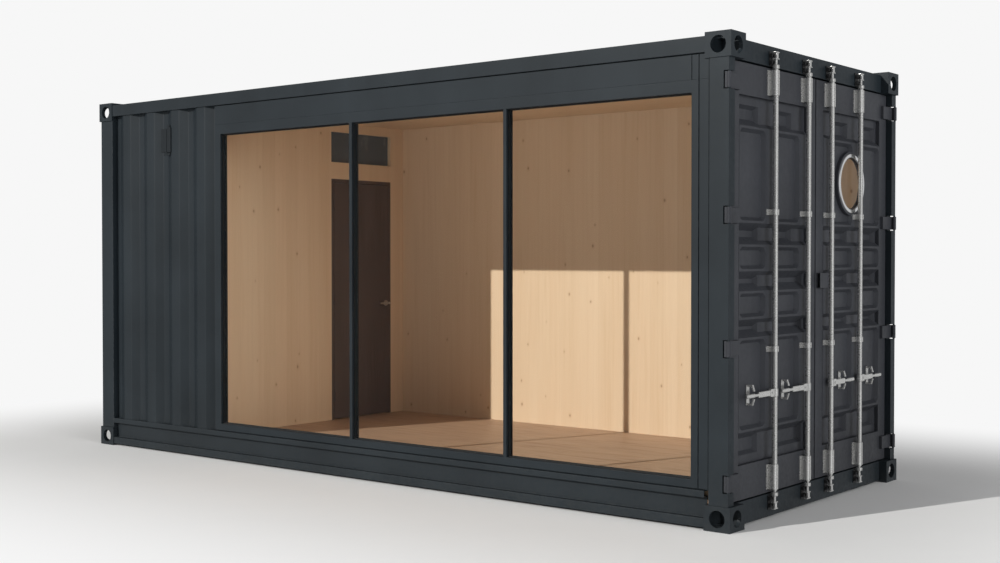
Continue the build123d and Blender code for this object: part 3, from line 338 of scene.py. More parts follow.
def anthracite(name, settings, dust_top=0.9, streaks=0.5, cast=(1.0, 1.0, 1.0)):
    """Anthracite paint: cloudy tone, faint streaks, rubbed edges and dust near the ground."""
    material, tree, shader = finish(name)
    place = object_place(tree)
    height = add(tree, "ShaderNodeSeparateXYZ", {0: place}).outputs[2]
    clouds = grain(tree, place, (1, 1, 1), 1.6, 4.0)
    runs = grain(tree, place, (11, 11, 0.9), 1.0, 5.0, 0.6)
    specks = grain(tree, place, (1, 1, 1), 34.0, 5.0, 0.65)
    rubbed = add(tree, "ShaderNodeAttribute", attribute_name="edge").outputs["Fac"]
    # cast scales the coat colour; a cast above one lightens the paint, which on the door leaves is painted
    # light
    coat = [value * share for value, share in zip(settings.coat, cast)]
    deep = colour([value * 0.86 for value in coat])
    light = colour([value * 1.22 + 0.001 for value in coat])
    base = blend_colour(tree, spread(tree, clouds, 0.3, 0.7, 0.0, 1.0), deep, light)
    run_mask = calc(tree, "MULTIPLY", spread(tree, runs, 0.52, 0.78, 0.0, 1.0), streaks * 0.45)
    base = blend_colour(tree, run_mask, base, colour([value * 1.55 + 0.002 for value in coat]))
    low_mask = spread(tree, height, 0.0, dust_top, 1.0, 0.0)
    low_mask = calc(tree, "POWER", low_mask, 3.0)
    dust_mask = calc(tree, "MULTIPLY", low_mask, spread(tree, specks, 0.35, 0.7, 0.0, 1.0))
    dust_mask = calc(tree, "MULTIPLY", dust_mask, 0.16)
    base = blend_colour(tree, dust_mask, base, colour(settings.dust))
    rub_mask = calc(tree, "MULTIPLY", rubbed, spread(tree, specks, 0.44, 0.62, 0.05, 0.75))
    base = blend_colour(tree, rub_mask, base, colour(settings.worn))
    tree.links.new(base, shader.inputs["Base Color"])
    rough = spread(tree, specks, 0.25, 0.75, settings.gloss - 0.07, settings.gloss + 0.11)
    rough = calc(tree, "ADD", rough, calc(tree, "MULTIPLY", dust_mask, 1.4))
    tree.links.new(rough, shader.inputs["Roughness"])
    shader.inputs["Specular IOR Level"].default_value = 0.15
    peel = grain(tree, place, (1, 1, 1), 210.0, 2.0)
    waves = grain(tree, place, (1, 1, 0.6), 2.4, 1.0)
    first = bump(tree, shader, waves, 0.10, 0.010)
    bump(tree, shader, peel, 0.06, 0.0006, first)
    return material


def spruce(name, settings, along="wall"):
    """Pale spruce in narrow lamellae, with long fine grain and a few small knots."""
    material, tree, shader = finish(name)
    place = object_place(tree)
    x, y, z = add(tree, "ShaderNodeSeparateXYZ", {0: place}).outputs[:3]
    if along == "wall":
        across = calc(tree, "ADD", x, y)
        length = z
    else:
        across = y
        length = x
    board = calc(tree, "FLOOR", calc(tree, "DIVIDE", across, settings.board))
    dice = add(tree, "ShaderNodeTexWhiteNoise", {1: board}, noise_dimensions="1D")
    tone, shift = dice.outputs[0], dice.outputs[1]
    offset = calc(tree, "MULTIPLY", tone, 7.0)
    shifted = calc(tree, "ADD", length, offset)
    spot = add(tree, "ShaderNodeCombineXYZ", {0: across, 1: shifted, 2: board}).outputs[0]
    flow = grain(tree, spot, (9.0, 0.55, 1.0), 1.0, 2.0, 0.5, 0.4)
    fibre = grain(tree, spot, (150.0, 2.6, 1.0), 1.0, 4.0, 0.6)
    bands = grain(tree, spot, (46.0, 0.7, 1.0), 1.0, 3.0, 0.5, 0.8)
    pale = colour([min(1.0, value * 1.07 + 0.01) for value in settings.wall])
    warm = colour([settings.wall[0] * 0.93, settings.wall[1] * 0.88, settings.wall[2] * 0.80])
    base = blend_colour(tree, spread(tree, tone, 0.0, 1.0, 0.34, 0.66), pale, warm)
    band_tone = colour([settings.wall[0] * 0.84, settings.wall[1] * 0.74, settings.wall[2] * 0.60])
    base = blend_colour(tree, spread(tree, bands, 0.48, 0.72, 0.0, 0.26), base, band_tone)
    fibre_tone = colour([settings.wall[0] * 0.75, settings.wall[1] * 0.62, settings.wall[2] * 0.46])
    base = blend_colour(tree, spread(tree, fibre, 0.45, 0.8, 0.0, 0.18), base, fibre_tone)
    base = blend_colour(tree, spread(tree, flow, 0.35, 0.7, 0.0, 0.14), base, colour([0.88, 0.74, 0.56]))
    flat = add(tree, "ShaderNodeCombineXYZ", {0: across, 1: length}).outputs[0]
    knot_place = add(tree, "ShaderNodeMapping", {"Vector": flat, "Scale": (4.4, 2.9, 1.0)}).outputs[0]
    cells = add(
        tree, "ShaderNodeTexVoronoi", {"Vector": knot_place, "Scale": 1.0, "Randomness": 1.0},
        voronoi_dimensions="2D",
    )
    chance = add(tree, "ShaderNodeSeparateXYZ", {0: cells.outputs["Color"]})
    present = calc(tree, "GREATER_THAN", chance.outputs[0], 0.60)
    size = spread(tree, chance.outputs[1], 0.0, 1.0, 0.020, 0.050)
    ratio = calc(tree, "DIVIDE", cells.outputs["Distance"], size)
    core = calc(tree, "MULTIPLY", spread(tree, ratio, 0.55, 1.0, 1.0, 0.0), present)
    halo = calc(tree, "MULTIPLY", spread(tree, ratio, 0.9, 2.8, 1.0, 0.0), present)
    rings = calc(tree, "MULTIPLY", calc(tree, "SINE", calc(tree, "MULTIPLY", ratio, 13.0)), halo)
    base = blend_colour(tree, calc(tree, "MULTIPLY", halo, 0.26), base, colour([0.60, 0.38, 0.22]))
    base = blend_colour(tree, calc(tree, "MULTIPLY", core, 0.62), base, colour([0.30, 0.15, 0.08]))
    joint = calc(tree, "FRACT", calc(tree, "DIVIDE", across, settings.board))
    seam = calc(tree, "LESS_THAN", joint, 0.012)
    base = blend_colour(tree, calc(tree, "MULTIPLY", seam, 0.16), base, colour([0.36, 0.22, 0.12]))
    tint = calc(tree, "MULTIPLY", add(tree, "ShaderNodeSeparateXYZ", {0: shift}).outputs[1], 0.05)
    base = blend_colour(tree, tint, base, colour([0.80, 0.50, 0.30]))
    tree.links.new(base, shader.inputs["Base Color"])
    tree.links.new(spread(tree, fibre, 0.2, 0.8, 0.46, 0.60), shader.inputs["Roughness"])
    shader.inputs["Specular IOR Level"].default_value = 0.3
    relief = calc(tree, "ADD", calc(tree, "MULTIPLY", fibre, 0.6), calc(tree, "MULTIPLY", rings, 0.12))
    relief = calc(tree, "SUBTRACT", relief, calc(tree, "MULTIPLY", seam, 0.7))
    bump(tree, shader, relief, 0.22, 0.0008)
    return material


def deck_boards(name, settings):
    """Redder, rougher floor timber with short grain streaks along the room."""
    material, tree, shader = finish(name)
    place = object_place(tree)
    patches = grain(tree, place, (0.8, 2.2, 1.0), 1.6, 4.0, 0.6, 0.5)
    streaks = grain(tree, place, (2.2, 26.0, 1.0), 1.0, 5.0, 0.65, 0.6)
    fibre = grain(tree, place, (9.0, 120.0, 1.0), 1.0, 3.0, 0.6)
    pale = colour([min(1.0, settings.deck[0] * 1.12), settings.deck[1] * 1.14, settings.deck[2] * 1.12])
    base = blend_colour(tree, spread(tree, patches, 0.32, 0.68, 0.0, 1.0), colour(settings.deck), pale)
    dark = colour([settings.deck[0] * 0.55, settings.deck[1] * 0.46, settings.deck[2] * 0.42])
    base = blend_colour(tree, spread(tree, streaks, 0.50, 0.78, 0.0, 0.62), base, dark)
    base = blend_colour(tree, spread(tree, fibre, 0.5, 0.8, 0.0, 0.35), base, dark)
    tree.links.new(base, shader.inputs["Base Color"])
    tree.links.new(spread(tree, streaks, 0.3, 0.7, 0.40, 0.58), shader.inputs["Roughness"])
    shader.inputs["Specular IOR Level"].default_value = 0.35
    bump(tree, shader, calc(tree, "ADD", streaks, calc(tree, "MULTIPLY", fibre, 0.5)), 0.25, 0.001)
    return material


def dark_oak(name, settings):
    """Dark stained leaf with a fine upright grain."""
    material, tree, shader = finish(name)
    place = object_place(tree)
    fibre = grain(tree, place, (80.0, 80.0, 2.4), 1.0, 4.0, 0.6, 0.3)
    clouds = grain(tree, place, (6.0, 6.0, 0.8), 1.0, 3.0)
    base = blend_colour(tree, spread(tree, clouds, 0.3, 0.7, 0.0, 1.0),
                        colour([value * 0.85 for value in settings.leaf]),
                        colour([value * 1.18 for value in settings.leaf]))
    base = blend_colour(tree, spread(tree, fibre, 0.45, 0.75, 0.0, 0.55), base,
                        colour([value * 0.55 for value in settings.leaf]))
    tree.links.new(base, shader.inputs["Base Color"])
    tree.links.new(spread(tree, fibre, 0.25, 0.75, 0.42, 0.56), shader.inputs["Roughness"])
    shader.inputs["Specular IOR Level"].default_value = 0.35
    bump(tree, shader, fibre, 0.16, 0.0006)
    return material


def clear_glass(name, settings):
    """Clear pane: seen straight through, a faint sheen at a low angle."""
    material, tree, shader = finish(name)
    tree.nodes.remove(shader)
    place = object_place(tree)
    smear = grain(tree, place, (1.0, 1.0, 1.0), 3.0, 4.0, 0.6)
    through = add(tree, "ShaderNodeBsdfTransparent", {0: colour(settings.tint)}).outputs[0]
    rough = spread(tree, smear, 0.35, 0.7, 0.0, 0.035)
    white = (1.0, 1.0, 1.0, 1.0)
    sheen = add(tree, "ShaderNodeBsdfGlossy", {"Color": white, "Roughness": rough}).outputs[0]
    outside = calc(tree, "SUBTRACT", 1.0, add(tree, "ShaderNodeNewGeometry").outputs["Backfacing"])
    facing = calc(tree, "MULTIPLY", add(tree, "ShaderNodeFresnel", {"IOR": 1.14}).outputs[0], outside)
    mixed = add(tree, "ShaderNodeMixShader", {0: facing, 1: through, 2: sheen}).outputs[0]
    tree.links.new(mixed, tree.nodes["Material Output"].inputs[0])
    return material


def smoked_glass(name):
    """Dark pane over the inner door."""
    material, tree, shader = finish(name)
    place = object_place(tree)
    smear = grain(tree, place, (1.0, 1.0, 1.0), 7.0, 4.0, 0.6)
    deep, light = (0.085, 0.105, 0.125, 1.0), (0.105, 0.125, 0.145, 1.0)
    base = blend_colour(tree, spread(tree, smear, 0.3, 0.7, 0.0, 1.0), deep, light)
    tree.links.new(base, shader.inputs["Base Color"])
    tree.links.new(spread(tree, smear, 0.3, 0.7, 0.16, 0.3), shader.inputs["Roughness"])
    shader.inputs["Specular IOR Level"].default_value = 0.3
    return material


def zinc_coat(name, settings, shine=0.22):
    """Galvanised steel: soft spangle, dull patches, fine scratches."""
    material, tree, shader = finish(name)
    place = object_place(tree)
    cells = add(tree, "ShaderNodeTexVoronoi", {"Vector": place, "Scale": 95.0}).outputs["Color"]
    spangle = add(tree, "ShaderNodeSeparateXYZ", {0: cells}).outputs[0]
    clouds = grain(tree, place, (1.0, 1.0, 1.0), 9.0, 4.0, 0.6)
    scratch = grain(tree, place, (240.0, 240.0, 6.0), 1.0, 2.0)
    base = blend_colour(tree, spread(tree, spangle, 0.0, 1.0, 0.0, 0.35), colour(settings.zinc),
                        colour([value * 0.82 for value in settings.zinc]))
    base = blend_colour(tree, spread(tree, clouds, 0.45, 0.75, 0.0, 0.30), base, (0.42, 0.425, 0.42, 1.0))
    tree.links.new(base, shader.inputs["Base Color"])
    shader.inputs["Metallic"].default_value = 0.7
    rough = calc(tree, "ADD", spread(tree, clouds, 0.3, 0.7, shine - 0.06, shine + 0.10),
                 calc(tree, "MULTIPLY", spangle, 0.05))
    tree.links.new(rough, shader.inputs["Roughness"])
    bump(tree, shader, scratch, 0.06, 0.0004)
    return material


def bright_steel(name, base_colour, shine):
    """Brushed or polished steel with hairline marks."""
    material, tree, shader = finish(name)
    place = object_place(tree)
    marks = grain(tree, place, (30.0, 260.0, 260.0), 1.0, 3.0)
    clouds = grain(tree, place, (1.0, 1.0, 1.0), 14.0, 3.0)
    base = blend_colour(tree, spread(tree, clouds, 0.3, 0.7, 0.0, 0.3), colour(base_colour),
                        colour([value * 0.8 for value in base_colour]))
    tree.links.new(base, shader.inputs["Base Color"])
    shader.inputs["Metallic"].default_value = 1.0
    tree.links.new(spread(tree, marks, 0.25, 0.75, shine * 0.7, shine * 1.5), shader.inputs["Roughness"])
    bump(tree, shader, marks, 0.05, 0.0003)
    return material


def dark_solid(name, tone, shine, scale, strength):
    """Rubber or blackened iron with a fine grained skin."""
    material, tree, shader = finish(name)
    place = object_place(tree)
    skin = grain(tree, place, (1.0, 1.0, 1.0), scale, 4.0, 0.6)
    clouds = grain(tree, place, (1.0, 1.0, 1.0), scale * 0.12, 3.0)
    deep, light = colour([value * 0.7 for value in tone]), colour([value * 1.5 for value in tone])
    base = blend_colour(tree, spread(tree, clouds, 0.3, 0.7, 0.0, 1.0), deep, light)
    tree.links.new(base, shader.inputs["Base Color"])
    tree.links.new(spread(tree, skin, 0.25, 0.75, shine - 0.08, shine + 0.1), shader.inputs["Roughness"])
    shader.inputs["Specular IOR Level"].default_value = 0.35
    bump(tree, shader, skin, strength, 0.0006)
    return material


FINISHES = {}


def finish_of(key):
    """Material by its own name, made once."""
    if key not in FINISHES:
        scene = bpy.context.scene
        paint, timber = scene.cabin_paint, scene.cabin_timber
        glass, fitting = scene.cabin_glass, scene.cabin_fitting
        makers = {
            "anthracite_paint": lambda: anthracite("anthracite_paint", paint),
            "frame_paint": lambda: anthracite("frame_paint", paint, 0.5, 0.25),
            # Leaf paint is the anthracite made about twice as light and slightly warmer: painted light
            # that lifts the leaves of the shaded door end
            "leaf_paint_lit": lambda: anthracite("leaf_paint_lit", paint, 1.2, 0.8, (2.40, 1.88, 1.80)),
            "vent_paint": lambda: anthracite("vent_paint", paint, 0.5, 0.2, (0.62, 0.62, 0.62)),
            "lining_timber": lambda: spruce("lining_timber", timber),
            "ceiling_timber": lambda: spruce("ceiling_timber", timber, "ceiling"),
            "floor_timber": lambda: deck_boards("floor_timber", timber),
            "dark_leaf": lambda: dark_oak("dark_leaf", timber),
            "window_glass": lambda: clear_glass("window_glass", glass),
            "dark_glass": lambda: smoked_glass("dark_glass"),
            "galvanised": lambda: zinc_coat("galvanised", fitting),
            "satin_steel": lambda: bright_steel("satin_steel", (0.56, 0.55, 0.54), 0.28),
            "polished_ring": lambda: bright_steel("polished_ring", (0.83, 0.84, 0.85), 0.13),
            "black_rubber": lambda: dark_solid("black_rubber", (0.010, 0.0105, 0.011), 0.66, 160.0, 0.12),
            "black_iron": lambda: dark_solid("black_iron", (0.016, 0.0165, 0.0175), 0.46, 90.0, 0.2),
        }
        FINISHES[key] = makers[key]()
    return FINISHES[key]


# mesh helpers


def settle(shape, name, material, body, smooth=50.0):
    """Object made from a finished shape, riding on its body."""
    bmesh.ops.recalc_face_normals(shape, faces=shape.faces)
    return place_piece(shape, name, material, body, smooth)


def place_piece(shape, name, material, body, smooth=50.0):
    """Smooth the faces, keep the hard edges sharp, and hand the mesh to an object."""
    for face in shape.faces:
        face.smooth = True
    for edge in shape.edges:
        if len(edge.link_faces) == 2:
            edge.smooth = math.degrees(edge.calc_face_angle(0.0)) < smooth
        else:
            edge.smooth = False
    mesh = bpy.data.meshes.new(name)
    shape.to_mesh(mesh)
    shape.free()
    mesh.materials.append(finish_of(material))
    piece = bpy.data.objects.new(name, mesh)
    bpy.context.scene.collection.objects.link(piece)
    even = piece.modifiers.new("even shading", "WEIGHTED_NORMAL")
    even.keep_sharp = True
    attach(piece, body)
    return piece


def worked_copy(node, name, material, passes):
    """Copy of a CAD node with its edges rounded in passes of (lowest, highest angle, radius, segments)."""
    source = frame["nodes"][node]
    shape = bmesh.new()
    shape.from_mesh(source.data)
    bmesh.ops.remove_doubles(shape, verts=shape.verts, dist=0.00002)
    bmesh.ops.dissolve_limit(
        shape, angle_limit=math.radians(0.6), verts=shape.verts, edges=shape.edges,
    )
    worn = shape.verts.layers.float.new("edge")
    for lowest, highest, radius, segments in passes:
        rims = []
        for edge in shape.edges:
            if len(edge.link_faces) == 2 and lowest < math.degrees(edge.calc_face_angle(0.0)) < highest:
                rims.append(edge)
        made = bmesh.ops.bevel(
            shape, geom=rims, offset=radius, offset_type="OFFSET", segments=segments,
            profile=0.5, affect="EDGES", clamp_overlap=True, material=-1,
        )
        fresh = set(made["faces"])
        for vert in made["verts"]:
            if all(face in fresh for face in vert.link_faces):
                vert[worn] = 1.0
    piece = place_piece(shape, name, material, source["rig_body"])
    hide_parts(node)
    return piece


def dress(node, material):
    """Give a CAD node its material."""
    piece = frame["nodes"][node]
    if piece.material_slots:
        for place in piece.material_slots:
            place.material = finish_of(material)
    else:
        piece.data.materials.append(finish_of(material))
    return piece


def linked_edges(verts):
    """Edges at some vertices, each once and in a fixed order."""
    return list(dict.fromkeys(edge for vert in verts for edge in vert.link_edges))


def block(shape, centre, size, radius=0.0, segments=2):
    """Block with rounded edges, added to a shape."""
    made = bmesh.ops.create_cube(shape, size=1.0)
    bmesh.ops.scale(shape, vec=Vector(size), verts=made["verts"])
    bmesh.ops.translate(shape, vec=Vector(centre), verts=made["verts"])
    if radius:
        rims = linked_edges(made["verts"])
        bmesh.ops.bevel(
            shape, geom=rims, offset=radius, offset_type="OFFSET", segments=segments,
            profile=0.5, affect="EDGES", clamp_overlap=True, material=-1,
        )


def turned(shape, centre, radii, length, axis="Z", sides=32, rim=0.0):
    """Cone or rod along Z or X with rounded rims, added to a shape."""
    made = bmesh.ops.create_cone(
        shape, cap_ends=True, cap_tris=False, segments=sides,
        radius1=radii[0], radius2=radii[1], depth=length,
    )
    if axis == "X":
        aside = Matrix.Rotation(math.pi / 2, 3, "Y")
        bmesh.ops.rotate(shape, cent=(0, 0, 0), matrix=aside, verts=made["verts"])
    bmesh.ops.translate(shape, vec=Vector(centre), verts=made["verts"])
    if rim:
        rims = []
        for edge in linked_edges(made["verts"]):
            if len(edge.link_faces) == 2 and math.degrees(edge.calc_face_angle(0.0)) > 40:
                rims.append(edge)
        bmesh.ops.bevel(
            shape, geom=rims, offset=rim, offset_type="OFFSET", segments=2,
            profile=0.5, affect="EDGES", clamp_overlap=True, material=-1,
        )


def bolt_head(shape, centre, radius, height=0.006):
    """Bolt head with a washer on a face that looks along X."""
    x, y, z = centre
    turned(shape, (x + height * 0.12, y, z), (radius * 1.45, radius * 1.35), height * 0.24, "X", 20)
    turned(shape, (x + height * 0.6, y, z), (radius, radius * 0.86), height * 0.75, "X", 6, 0.0008)


def frame_ring(shape, low, high, width, front, back):
    """Rectangular ring in the plane of the long side, laid from four strips inside its outline."""
    depth, middle = back - front, (back + front) / 2
    for z in (low[1] + width / 2, high[1] - width / 2):
        block(shape, ((low[0] + high[0]) / 2, middle, z), (high[0] - low[0], depth, width), 0.001)
    for x in (low[0] + width / 2, high[0] - width / 2):
        upright = (width, depth, high[1] - low[1] - 2 * width)
        block(shape, (x, middle, (low[1] + high[1]) / 2), upright, 0.001)


def strap(shape, y, z, height, foot):
    """Folded strap over a bar: two feet on the door face and an oval hat round the bar."""
    before = set(shape.verts)
    start = shape.verts.new((BAR_X, y - STRAP_RADIUS, z - height / 2))
    arc = bmesh.ops.spin(
        shape, geom=[start], cent=(BAR_X, y, z), axis=(0, 0, 1), angle=math.pi, steps=14,
    )
    bent = [vert for vert in shape.verts if vert not in before]
    for vert in bent:
        vert.co.x = BAR_X + (vert.co.x - BAR_X) * STRAP_FLATTENING
    last = [item for item in arc["geom_last"] if isinstance(item, bmesh.types.BMVert)][0]
    for tip, way in ((start, -1.0), (last, 1.0)):
        knee = shape.verts.new((DOOR_FACE, tip.co.y, tip.co.z))
        toe = shape.verts.new((DOOR_FACE, y + way * foot, tip.co.z))
        shape.edges.new((tip, knee))
        shape.edges.new((knee, toe))
    line = linked_edges([vert for vert in shape.verts if vert not in before])
    sheet = bmesh.ops.extrude_edge_only(shape, edges=line)["geom"]
    risen = [item for item in sheet if isinstance(item, bmesh.types.BMVert)]
    bmesh.ops.translate(shape, vec=Vector((0.0, 0.0, height)), verts=risen)
    faces = [item for item in sheet if isinstance(item, bmesh.types.BMFace)]
    bmesh.ops.recalc_face_normals(shape, faces=faces)
    nose = max(faces, key=lambda face: face.calc_center_median().x)
    if nose.normal.x > 0.0:
        bmesh.ops.reverse_faces(shape, faces=faces)
    bmesh.ops.solidify(shape, geom=faces, thickness=STRAP_WALL)


def lever(shape, y, side, sides):
    """Lever of a bar: collar, folded channel, neck and rounded grip."""
    turned(shape, (BAR_X, y, HANDLE_Z), (0.0205, 0.0205), 0.050, "Z", sides, 0.004)
    for near, far, thick, tall, radius in LEVER_PARTS:
        centre = (BAR_X, y + side * (near + far) / 2, HANDLE_Z)
        block(shape, centre, (thick, far - near, tall), radius, 3)
    turned(shape, (BAR_X, y + side * 0.047, HANDLE_Z), (0.007, 0.007), 0.026, "X", 20, 0.002)


def catch(shape, y):
    """Catch of a lever: a plate in the pressing and two fingers that lean out towards the lever."""
    block(shape, (DOOR_FACE - 0.0215, y, HANDLE_Z), (0.007, 0.038, 0.122), 0.002)
    for way in (-1.0, 1.0):
        block(shape, (DOOR_FACE - 0.004, y, HANDLE_Z + way * 0.056), (0.030, 0.014, 0.014), 0.003)
        before = set(shape.verts)
        hub = Vector((DOOR_FACE + 0.016, y, HANDLE_Z + way * 0.042))
        block(shape, hub, (0.012, 0.017, 0.044), 0.005, 3)
        finger = [vert for vert in shape.verts if vert not in before]
        lean = Matrix.Rotation(way * math.radians(-18.0), 3, "Y")
        bmesh.ops.rotate(shape, cent=hub, matrix=lean, verts=finger)


# operators


class CABIN_OT_shell(bpy.types.Operator):
    """Round and paint the castings, posts and rails"""

    bl_idname = "cabin.shell"
    bl_label = "Shell"

    def execute(self, context):
        edge = context.scene.cabin_paint.edge
        paint = "anthracite_paint"
        for node, name, material, radius in (
            ("corner_castings", "casting_blocks", paint, edge * 0.9),
            ("door_posts", "door_post_tubes", paint, edge),
            ("closed_posts", "closed_post_tubes", paint, edge),
            ("top_side_rails", "top_rail_tubes", paint, edge),
            ("bottom_side_rails", "bottom_rail_plates", paint, edge * 0.55),
            ("door_header", "header_beam", paint, edge),
            ("door_sill", "sill_beam", paint, edge),
            ("closed_end_rails", "closed_end_beams", paint, edge),
            ("head_plate", "head_cover", "frame_paint", 0.0018),
            ("cross_members", "floor_bearers", paint, 0.001),
        ):
            worked_copy(node, name, material, [(60.0, 120.0, radius, 2)])
        return {"FINISHED"}


class CABIN_OT_walls(bpy.types.Operator):
    """Round the folds of the corrugated sheets and the roof, and paint them"""

    bl_idname = "cabin.walls"
    bl_label = "Corrugated sheets"

    def execute(self, context):
        paint = "anthracite_paint"
        for node, name, steepest, radius in (
            ("front_sheet", "front_ribs", 60.0, 0.008),
            ("back_sheet", "back_ribs", 60.0, 0.008),
            ("end_sheet", "end_ribs", 70.0, 0.007),
            ("roof_sheet", "roof_ribs", 75.0, 0.004),
        ):
            worked_copy(node, name, paint, [(15.0, steepest, radius, 3)])
        return {"FINISHED"}


class CABIN_OT_leaves(bpy.types.Operator):
    """Round and paint the two door leaves"""

    bl_idname = "cabin.leaves"
    bl_label = "Door leaves"

    def execute(self, context):
        for side in ("near", "far"):
            for node, name, passes in (
                ("_leaf_frame", "_frame_tubes", [(60.0, 120.0, 0.004, 2)]),
                ("_leaf_panel", "_pressed_panel", [(28.0, 82.0, 0.006, 3)]),
                ("_leaf_hinges", "_hinge_blades", [(60.0, 120.0, 0.0016, 2)]),
            ):
                # frames, panels and hinge blades take the lightened leaf paint, whose lift is painted
                # light
                worked_copy(side + node, side + name, "leaf_paint_lit", passes)
            dress(side + "_leaf_seal", "black_rubber")
        near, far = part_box("near_leaf_frame")[1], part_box("far_leaf_frame")[0]
        shape = bmesh.new()
        middle = (near.x - LEAF_GASKET_BACK, (near.y + far.y) / 2, (near.z + far.z) / 2)
        block(shape, middle, (LEAF_GASKET_DEPTH, far.y - near.y, near.z - far.z), 0.002)
        settle(shape, "leaf_gasket", "black_rubber", "far_leaf")
        return {"FINISHED"}


class CABIN_OT_lock_gear(bpy.types.Operator):
    """Turn the locking bars and forge their cams, levers and keepers"""

    bl_idname = "cabin.lock_gear"
    bl_label = "Lock gear"

    def execute(self, context):
        sides = context.scene.cabin_fitting.sides
        for number, y in BAR_LINES.items():
            side = 1.0 if y > 0 else -1.0
            shape = bmesh.new()
            turned(shape, (BAR_X, y, BAR_MIDDLE_Z), (BAR_RADIUS, BAR_RADIUS), BAR_LENGTH, "Z", sides)
            for foot, up in CAM_ENDS:
                turned(shape, (BAR_X, y, foot + up * 0.060), (0.0095, 0.0095), 0.116, "Z", sides)
                turned(shape, (BAR_X, y, foot + up * 0.092), (0.0215, 0.0215), 0.024, "Z", sides, 0.004)
                for step in CAM_PLATE_STEPS:
                    block(shape, (BAR_X, y, foot + up * step), (0.026, 0.050, 0.008), 0.0030, 3)
                block(shape, (BAR_X + 0.007, y, foot + up * 0.0235), (0.010, 0.026, 0.034), 0.0025)
            lever(shape, y, side, sides)
            name, body = "locking_bar_" + number, "bar_" + number
            piece = settle(shape, name, "galvanised", body, 42.0)
            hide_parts("lock_bar_" + number)
        for side, name in ((-1.0, "near"), (1.0, "far")):
            shape = bmesh.new()
            for bar in (OUTER_BAR_Y, INNER_BAR_Y):
                for z, height, foot in BRACKET_ROWS:
                    strap(shape, side * bar, z, height, foot)
                catch(shape, side * (bar + CATCH_FROM_BAR))
            body = name + "_leaf"
            gear = settle(shape, name + "_bar_brackets", "galvanised", body, 40.0)
            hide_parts(name + "_lock_fittings")
        shape = bmesh.new()
        for y in BAR_LINES.values():
            for foot, up in CAM_ENDS:
                block(shape, (DOOR_FACE + 0.003, y, foot + up * 0.040), (0.006, 0.060, 0.086), 0.0015)
                for step in KEEPER_LUG_STEPS:
                    for way in (-1.0, 1.0):
                        centre = (DOOR_FACE + 0.013, y + way * KEEPER_LUG_Y, foot + up * step)
                        block(shape, centre, (0.024, 0.015, 0.024), 0.004)
        keepers = settle(shape, "cam_keepers", "black_iron", "container", 40.0)
        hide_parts("bar_keepers")
        passes = [(60.0, 120.0, 0.0014, 2)]
        # the padlock box takes the lightened leaf paint, whose lift is painted light
        worked_copy("lock_box", "padlock_box", "leaf_paint_lit", passes)
        return {"FINISHED"}


class CABIN_OT_glazing(bpy.types.Operator):
    """Paint the glazing frame, clear the panes and seat their gaskets"""

    bl_idname = "cabin.glazing"
    bl_label = "Glazing"

    def execute(self, context):
        passes = [(60.0, 120.0, 0.0018, 2)]
        worked_copy("window_frame", "glazing_frame", "frame_paint", passes)
        dress("window_panes", "window_glass")
        rim = context.scene.cabin_glass.rim
        low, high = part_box("window_panes")
        shape = bmesh.new()
        lefts = [low.x] + [x + MULLION_HALF for x in MULLION_X]
        rights = [x - MULLION_HALF for x in MULLION_X] + [high.x]
        for left, right in zip(lefts, rights):
            frame_ring(shape, (left, low.z), (right, high.z), rim, low.y - GASKET_DEPTH, low.y)
            frame_ring(shape, (left, low.z), (right, high.z), rim, high.y, high.y + GASKET_DEPTH)
        settle(shape, "pane_gaskets", "black_rubber", "container")
        return {"FINISHED"}


class CABIN_OT_round_window(bpy.types.Operator):
    """Turn the bright ring of the round window and seat its pane"""

    bl_idname = "cabin.round_window"
    bl_label = "Round window"

    def execute(self, context):
        sides = 72
        centre = Vector((DOOR_FACE, *ROUND_CENTRE))
        shape = bmesh.new()
        profile = [shape.verts.new(centre + Vector((out, 0.0, radius))) for out, radius in ROUND_OUTLINE]
        pairs = zip(profile, profile[1:] + profile[:1])
        rims = [shape.edges.new(pair) for pair in pairs]
        bmesh.ops.spin(
            shape, geom=profile + rims, cent=centre, axis=(1, 0, 0),
            angle=2 * math.pi, steps=sides, use_merge=True,
        )
        ring = settle(shape, "bright_ring", "polished_ring", "far_leaf", 60.0)
        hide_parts("porthole_ring")
        passes = [(60.0, 120.0, 0.0006, 2)]
        worked_copy("porthole_pane", "round_pane", "window_glass", passes)
        return {"FINISHED"}


class CABIN_OT_room(bpy.types.Operator):
    """Finish the linings, the floor, the inner wall and its door"""

    bl_idname = "cabin.room"
    bl_label = "Room"

    def execute(self, context):
        for node in ("back_lining", "front_lining", "end_lining", "partition_wall"):
            dress(node, "lining_timber")
        dress("ceiling_lining", "ceiling_timber")
        dress("floor_boards", "floor_timber")
        for node, name, finish_name, radius in (
            ("inner_door", "inner_leaf_board", "dark_leaf", 0.002),
            ("inner_door_frame", "inner_jamb", "dark_leaf", 0.0015),
            ("inner_door_handle", "inner_lever", "satin_steel", 0.002),
        ):
            worked_copy(node, name, finish_name, [(60.0, 120.0, radius, 2)])
        dress("transom_pane", "dark_glass")
        return {"FINISHED"}


class CABIN_OT_vent(bpy.types.Operator):
    """Build the vent hood from rounded blocks, with its rib, hook and tab"""

    bl_idname = "cabin.vent"
    bl_label = "Vent hood"

    def execute(self, context):
        low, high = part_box("vent_hood")
        shape = bmesh.new()
        depth = high.y - low.y
        for left, right, bottom, top, share in VENT_PARTS:
            width, height = high.x - low.x, high.z - low.z
            size = ((right - left) * width, depth * share, (top - bottom) * height)
            centre = (
                low.x + (left + right) / 2 * width,
                high.y - depth * share / 2,
                low.z + (bottom + top) / 2 * height,
            )
            block(shape, centre, size, 0.0014)
        cover = settle(shape, "vent_cover", "vent_paint", "container", 40.0)
        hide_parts("vent_hood")
        return {"FINISHED"}


